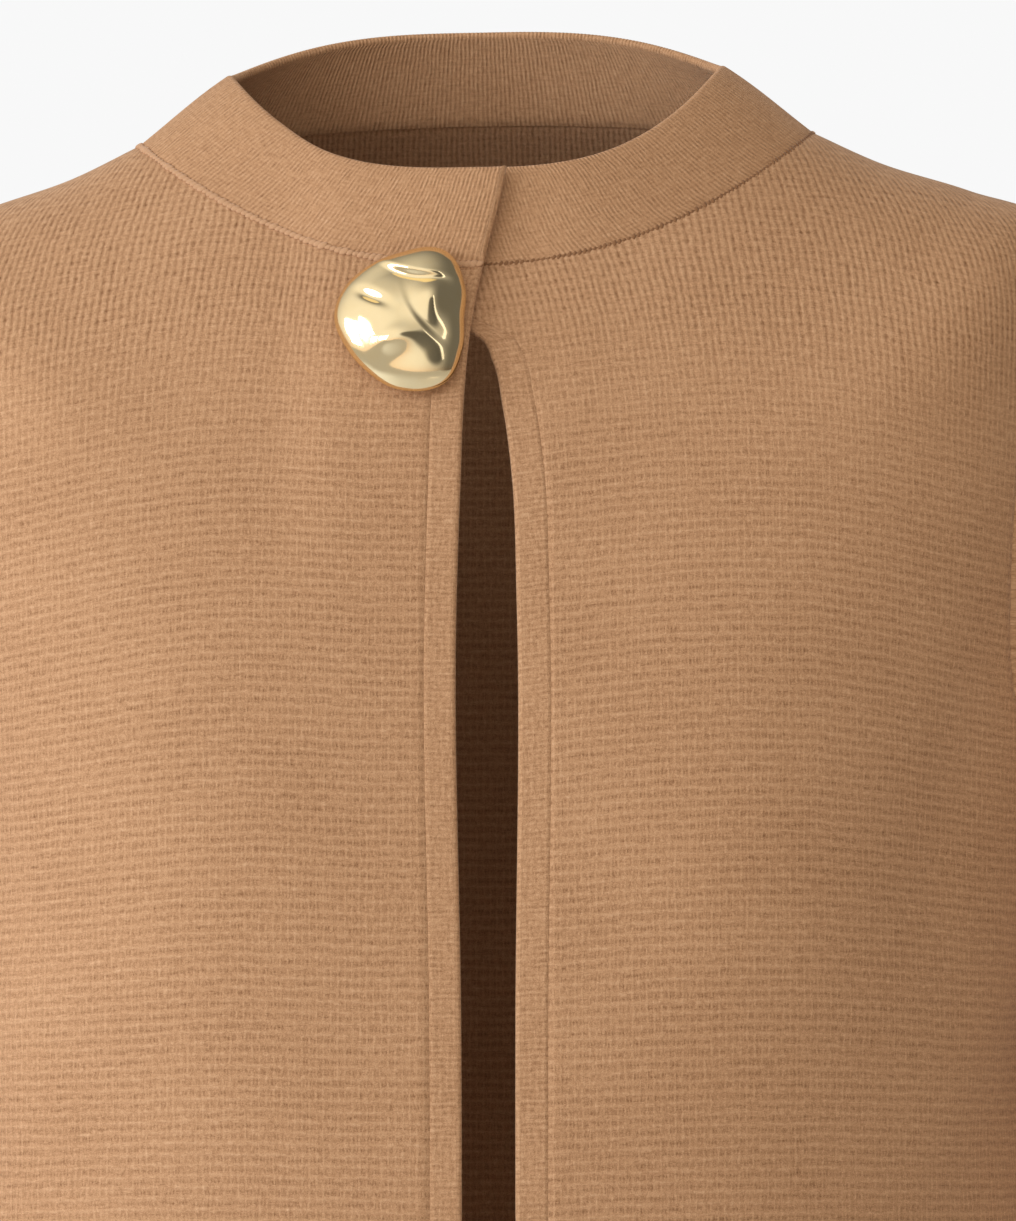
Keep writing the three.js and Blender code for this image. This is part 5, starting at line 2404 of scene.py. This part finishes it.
@dataclass
class Buttonhole:
    """The hole in the right front that the button passes through, and the stitches round it."""

    seat: ButtonSeat
    long: float = 24
    wide: float = 7.6
    across: float = -7
    deep: float = 24
    front: float = 16
    stitch_margin: float = 0.8
    stitch_lift: float = 0.1
    row: StitchRow = StitchRow(pitch=0.9, long=0.7, wide=2.0, thick=0.7, slant=0)
    yarn: YarnFinish = field(default_factory=YarnFinish)

    def outline(self, margin: float, steps: int = 48) -> Array:
        """Give the hole's outline in the button's own x and z, let out by a margin.

        Args:
            margin: How far it is let out.
            steps: How many points it has.

        Returns:
            Points, with x and z on the last axis.
        """
        radius = self.wide / 2 + margin
        half = self.long / 2 - self.wide / 2
        a = np.linspace(0, 2 * math.pi, steps, endpoint=False)
        x = self.across + half * np.sign(np.cos(a)) + radius * np.cos(a)
        return np.stack([x, radius * np.sin(a)], -1)

    def cut(self, piece: bpy.types.Object) -> None:
        """Cut the hole through a piece.

        Args:
            piece: The cloth.
        """
        outline = self.outline(0)
        levels = (-self.front, self.deep - self.front)
        rows = [
            np.stack([outline[:, 0], np.full(len(outline), y), outline[:, 1]], -1) for y in levels
        ]
        maker = MeshMaker()
        add_tube(maker, moved_by(self.seat.placing(), np.array(rows)))
        cutter = add_object("buttonhole_cutter", maker.mesh("buttonhole_cutter"))
        modifier = piece.modifiers.new("buttonhole", "BOOLEAN")
        modifier.object, modifier.operation, modifier.solver = cutter, "DIFFERENCE", "EXACT"
        keep_result(piece)
        bpy.data.objects.remove(cutter)

    def sew(self) -> None:
        """Sew the bar stitches round the hole."""
        outline = self.outline(self.stitch_margin)
        outline = np.concatenate([outline, outline[:1]])
        x = self.seat.x + outline[:, 0]
        z = self.seat.z + outline[:, 1] * math.cos(math.radians(self.seat.lean))
        found = self.seat.form.find(x, z, Layer.RIGHT)
        out = self.seat.form.normal(*found, Layer.RIGHT)
        line = self.seat.form.point(*found, Layer.RIGHT) + out * self.stitch_lift
        self.row.sew("buttonhole_stitches", line, out, self.yarn)


# ---------------------------------------------------------------- the studio


@dataclass(frozen=True)
class SoftBox:
    """A soft light that faces the coat's chest. Metres and watts."""

    name: str
    place: tuple[float, float, float]
    size: tuple[float, float]
    power: float
    colour: Colour
    mirrored: bool = True
    faces: tuple[float, float, float] = (0.0, -0.05, -0.2)

    def build(self) -> None:
        """Hang the light."""
        data = bpy.data.lights.new(self.name, "AREA")
        data.shape = "RECTANGLE"
        data.size, data.size_y = self.size
        data.energy = self.power
        data.color = self.colour
        light = bpy.data.objects.new(self.name, data)
        light.location = self.place
        aim = Vector(self.faces) - Vector(self.place)
        light.rotation_euler = aim.to_track_quat("-Z", "Y").to_euler()
        light.visible_camera = False
        light.visible_glossy = self.mirrored
        bpy.context.scene.collection.objects.link(light)


@dataclass
class Studio:
    """The floor, lights and camera. Metres."""

    floor_height: float = -1.42
    floor_size: float = 14.0
    camera_place: tuple[float, float, float] = (0.0104, -3.5, -0.1518)
    lens: float = 316.0
    seen_colour: Colour = (0.94, 0.94, 0.94)
    given_colour: Colour = (1.0, 0.925, 0.84)
    low_colour: Colour = (1.0, 0.6, 0.33)
    given_low: float = 0.15
    given_high: float = 1.0
    bright_way: tuple[float, float, float] = (-0.62, -0.72, 0.28)
    dark_way: tuple[float, float, float] = (0.55, -0.75, 0.3)
    bright_range: tuple[float, float] = (-0.4, 0.85)
    dark_range: tuple[float, float] = (0.93, 0.985)
    dark_depth: float = 0.8
    low_range: tuple[float, float] = (0.1, -0.5)
    sensor: float = 36.0
    far_end: float = 100.0
    lights: tuple[SoftBox, ...] = (
        SoftBox("key", (-2.3, -1.9, 0.6), (1.4, 1.4), 20.5, (0.92, 1.0, 1.12)),
        SoftBox("side", (-2.8, -0.75, 0.25), (0.8, 1.0), 25.0, (0.92, 1.0, 1.12)),
        SoftBox("fill", (1.9, -2.6, -1.3), (1.2, 1.2), 9.0, (1.0, 0.84, 0.68), False),
        SoftBox("edge", (2.5, -1.9, 1.3), (0.35, 1.7), 2.0, (1.0, 0.94, 0.86)),
        SoftBox("rear", (0.6, 2.6, 1.7), (2.0, 1.0), 24.0, (1.0, 0.98, 0.96)),
    )

    def add_floor(self) -> None:
        """Lay the floor."""
        half = self.floor_size / 2
        mesh = bpy.data.meshes.new("floor")
        corners = [(-half, -half), (half, -half), (half, half), (-half, half)]
        mesh.from_pydata([(x, y, self.floor_height) for x, y in corners], [], [(0, 1, 2, 3)])
        floor = add_object("floor", mesh)
        StudioPaint().dress(floor)

    def add_world(self) -> None:
        """Give a pale surround that lights the coat from the upper left, with one darker gap."""
        world = bpy.data.worlds.new("studio")
        world.use_nodes = True
        world.node_tree.nodes.clear()
        tree = NodeTree(world.node_tree)
        way = tree.node("ShaderNodeTexCoord").outputs["Generated"]
        towards = [
            tree.value(
                tree.node(
                    "ShaderNodeVectorMath",
                    {"operation": "DOT_PRODUCT"},
                    {0: way, 1: tuple(Vector(chosen).normalized())},
                ),
                "Value",
            )
            for chosen in (self.bright_way, self.dark_way)
        ]
        bright = tree.ease(towards[0], *self.bright_range)
        gap = tree.ease(towards[1], *self.dark_range)
        height = tree.value(tree.node("ShaderNodeSeparateXYZ", {}, {0: way}), 2)
        colour = tree.mix(
            tree.ease(height, *self.low_range), rgba(self.given_colour), rgba(self.low_colour)
        )
        given = self.given_low + bright * (self.given_high - self.given_low)
        given = given * (1 - gap * self.dark_depth)
        seen = tree.node(
            "ShaderNodeBackground", {}, {"Color": rgba(self.seen_colour), "Strength": 1.0}
        )
        light = tree.node(
            "ShaderNodeBackground", {}, {"Color": colour, "Strength": given}
        )
        path = tree.node("ShaderNodeLightPath")
        both = tree.node(
            "ShaderNodeMixShader",
            {},
            {0: path.outputs["Is Camera Ray"], 1: light.outputs[0], 2: seen.outputs[0]},
        )
        tree.node("ShaderNodeOutputWorld", {}, {"Surface": both.outputs[0]})
        bpy.context.scene.world = world

    def add_camera(self) -> None:
        """Stand the camera level, straight in front."""
        data = bpy.data.cameras.new("camera")
        data.lens = self.lens
        data.sensor_width = self.sensor
        data.clip_end = self.far_end
        camera = bpy.data.objects.new("camera", data)
        camera.location = self.camera_place
        camera.rotation_euler = (math.pi / 2, 0, 0)
        bpy.context.scene.collection.objects.link(camera)
        bpy.context.scene.camera = camera

    def build(self) -> None:
        """Set up the studio."""
        bpy.context.scene.view_settings.view_transform = "Standard"
        self.add_floor()
        self.add_world()
        for light in self.lights:
            light.build()
        self.add_camera()


def main() -> None:
    """Build the coat and the studio."""
    logging.basicConfig(level=logging.INFO, format="%(message)s")
    form = WornForm()
    cut = CutMap(form)
    Studio().build()
    seat = ButtonSeat(form)
    buttonhole = Buttonhole(seat)
    BodyPanels(form, cut, buttonhole=buttonhole).build()
    buttonhole.sew()
    FrontBands(form, cut).build()
    Neckband(form).build()
    NeckSeam(form).build()
    Sleeves(form, cut).build()
    PebbleButton(seat).build()
    YarnFinish().dress(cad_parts["button_thread"])


if __name__ == "__main__":
    main()
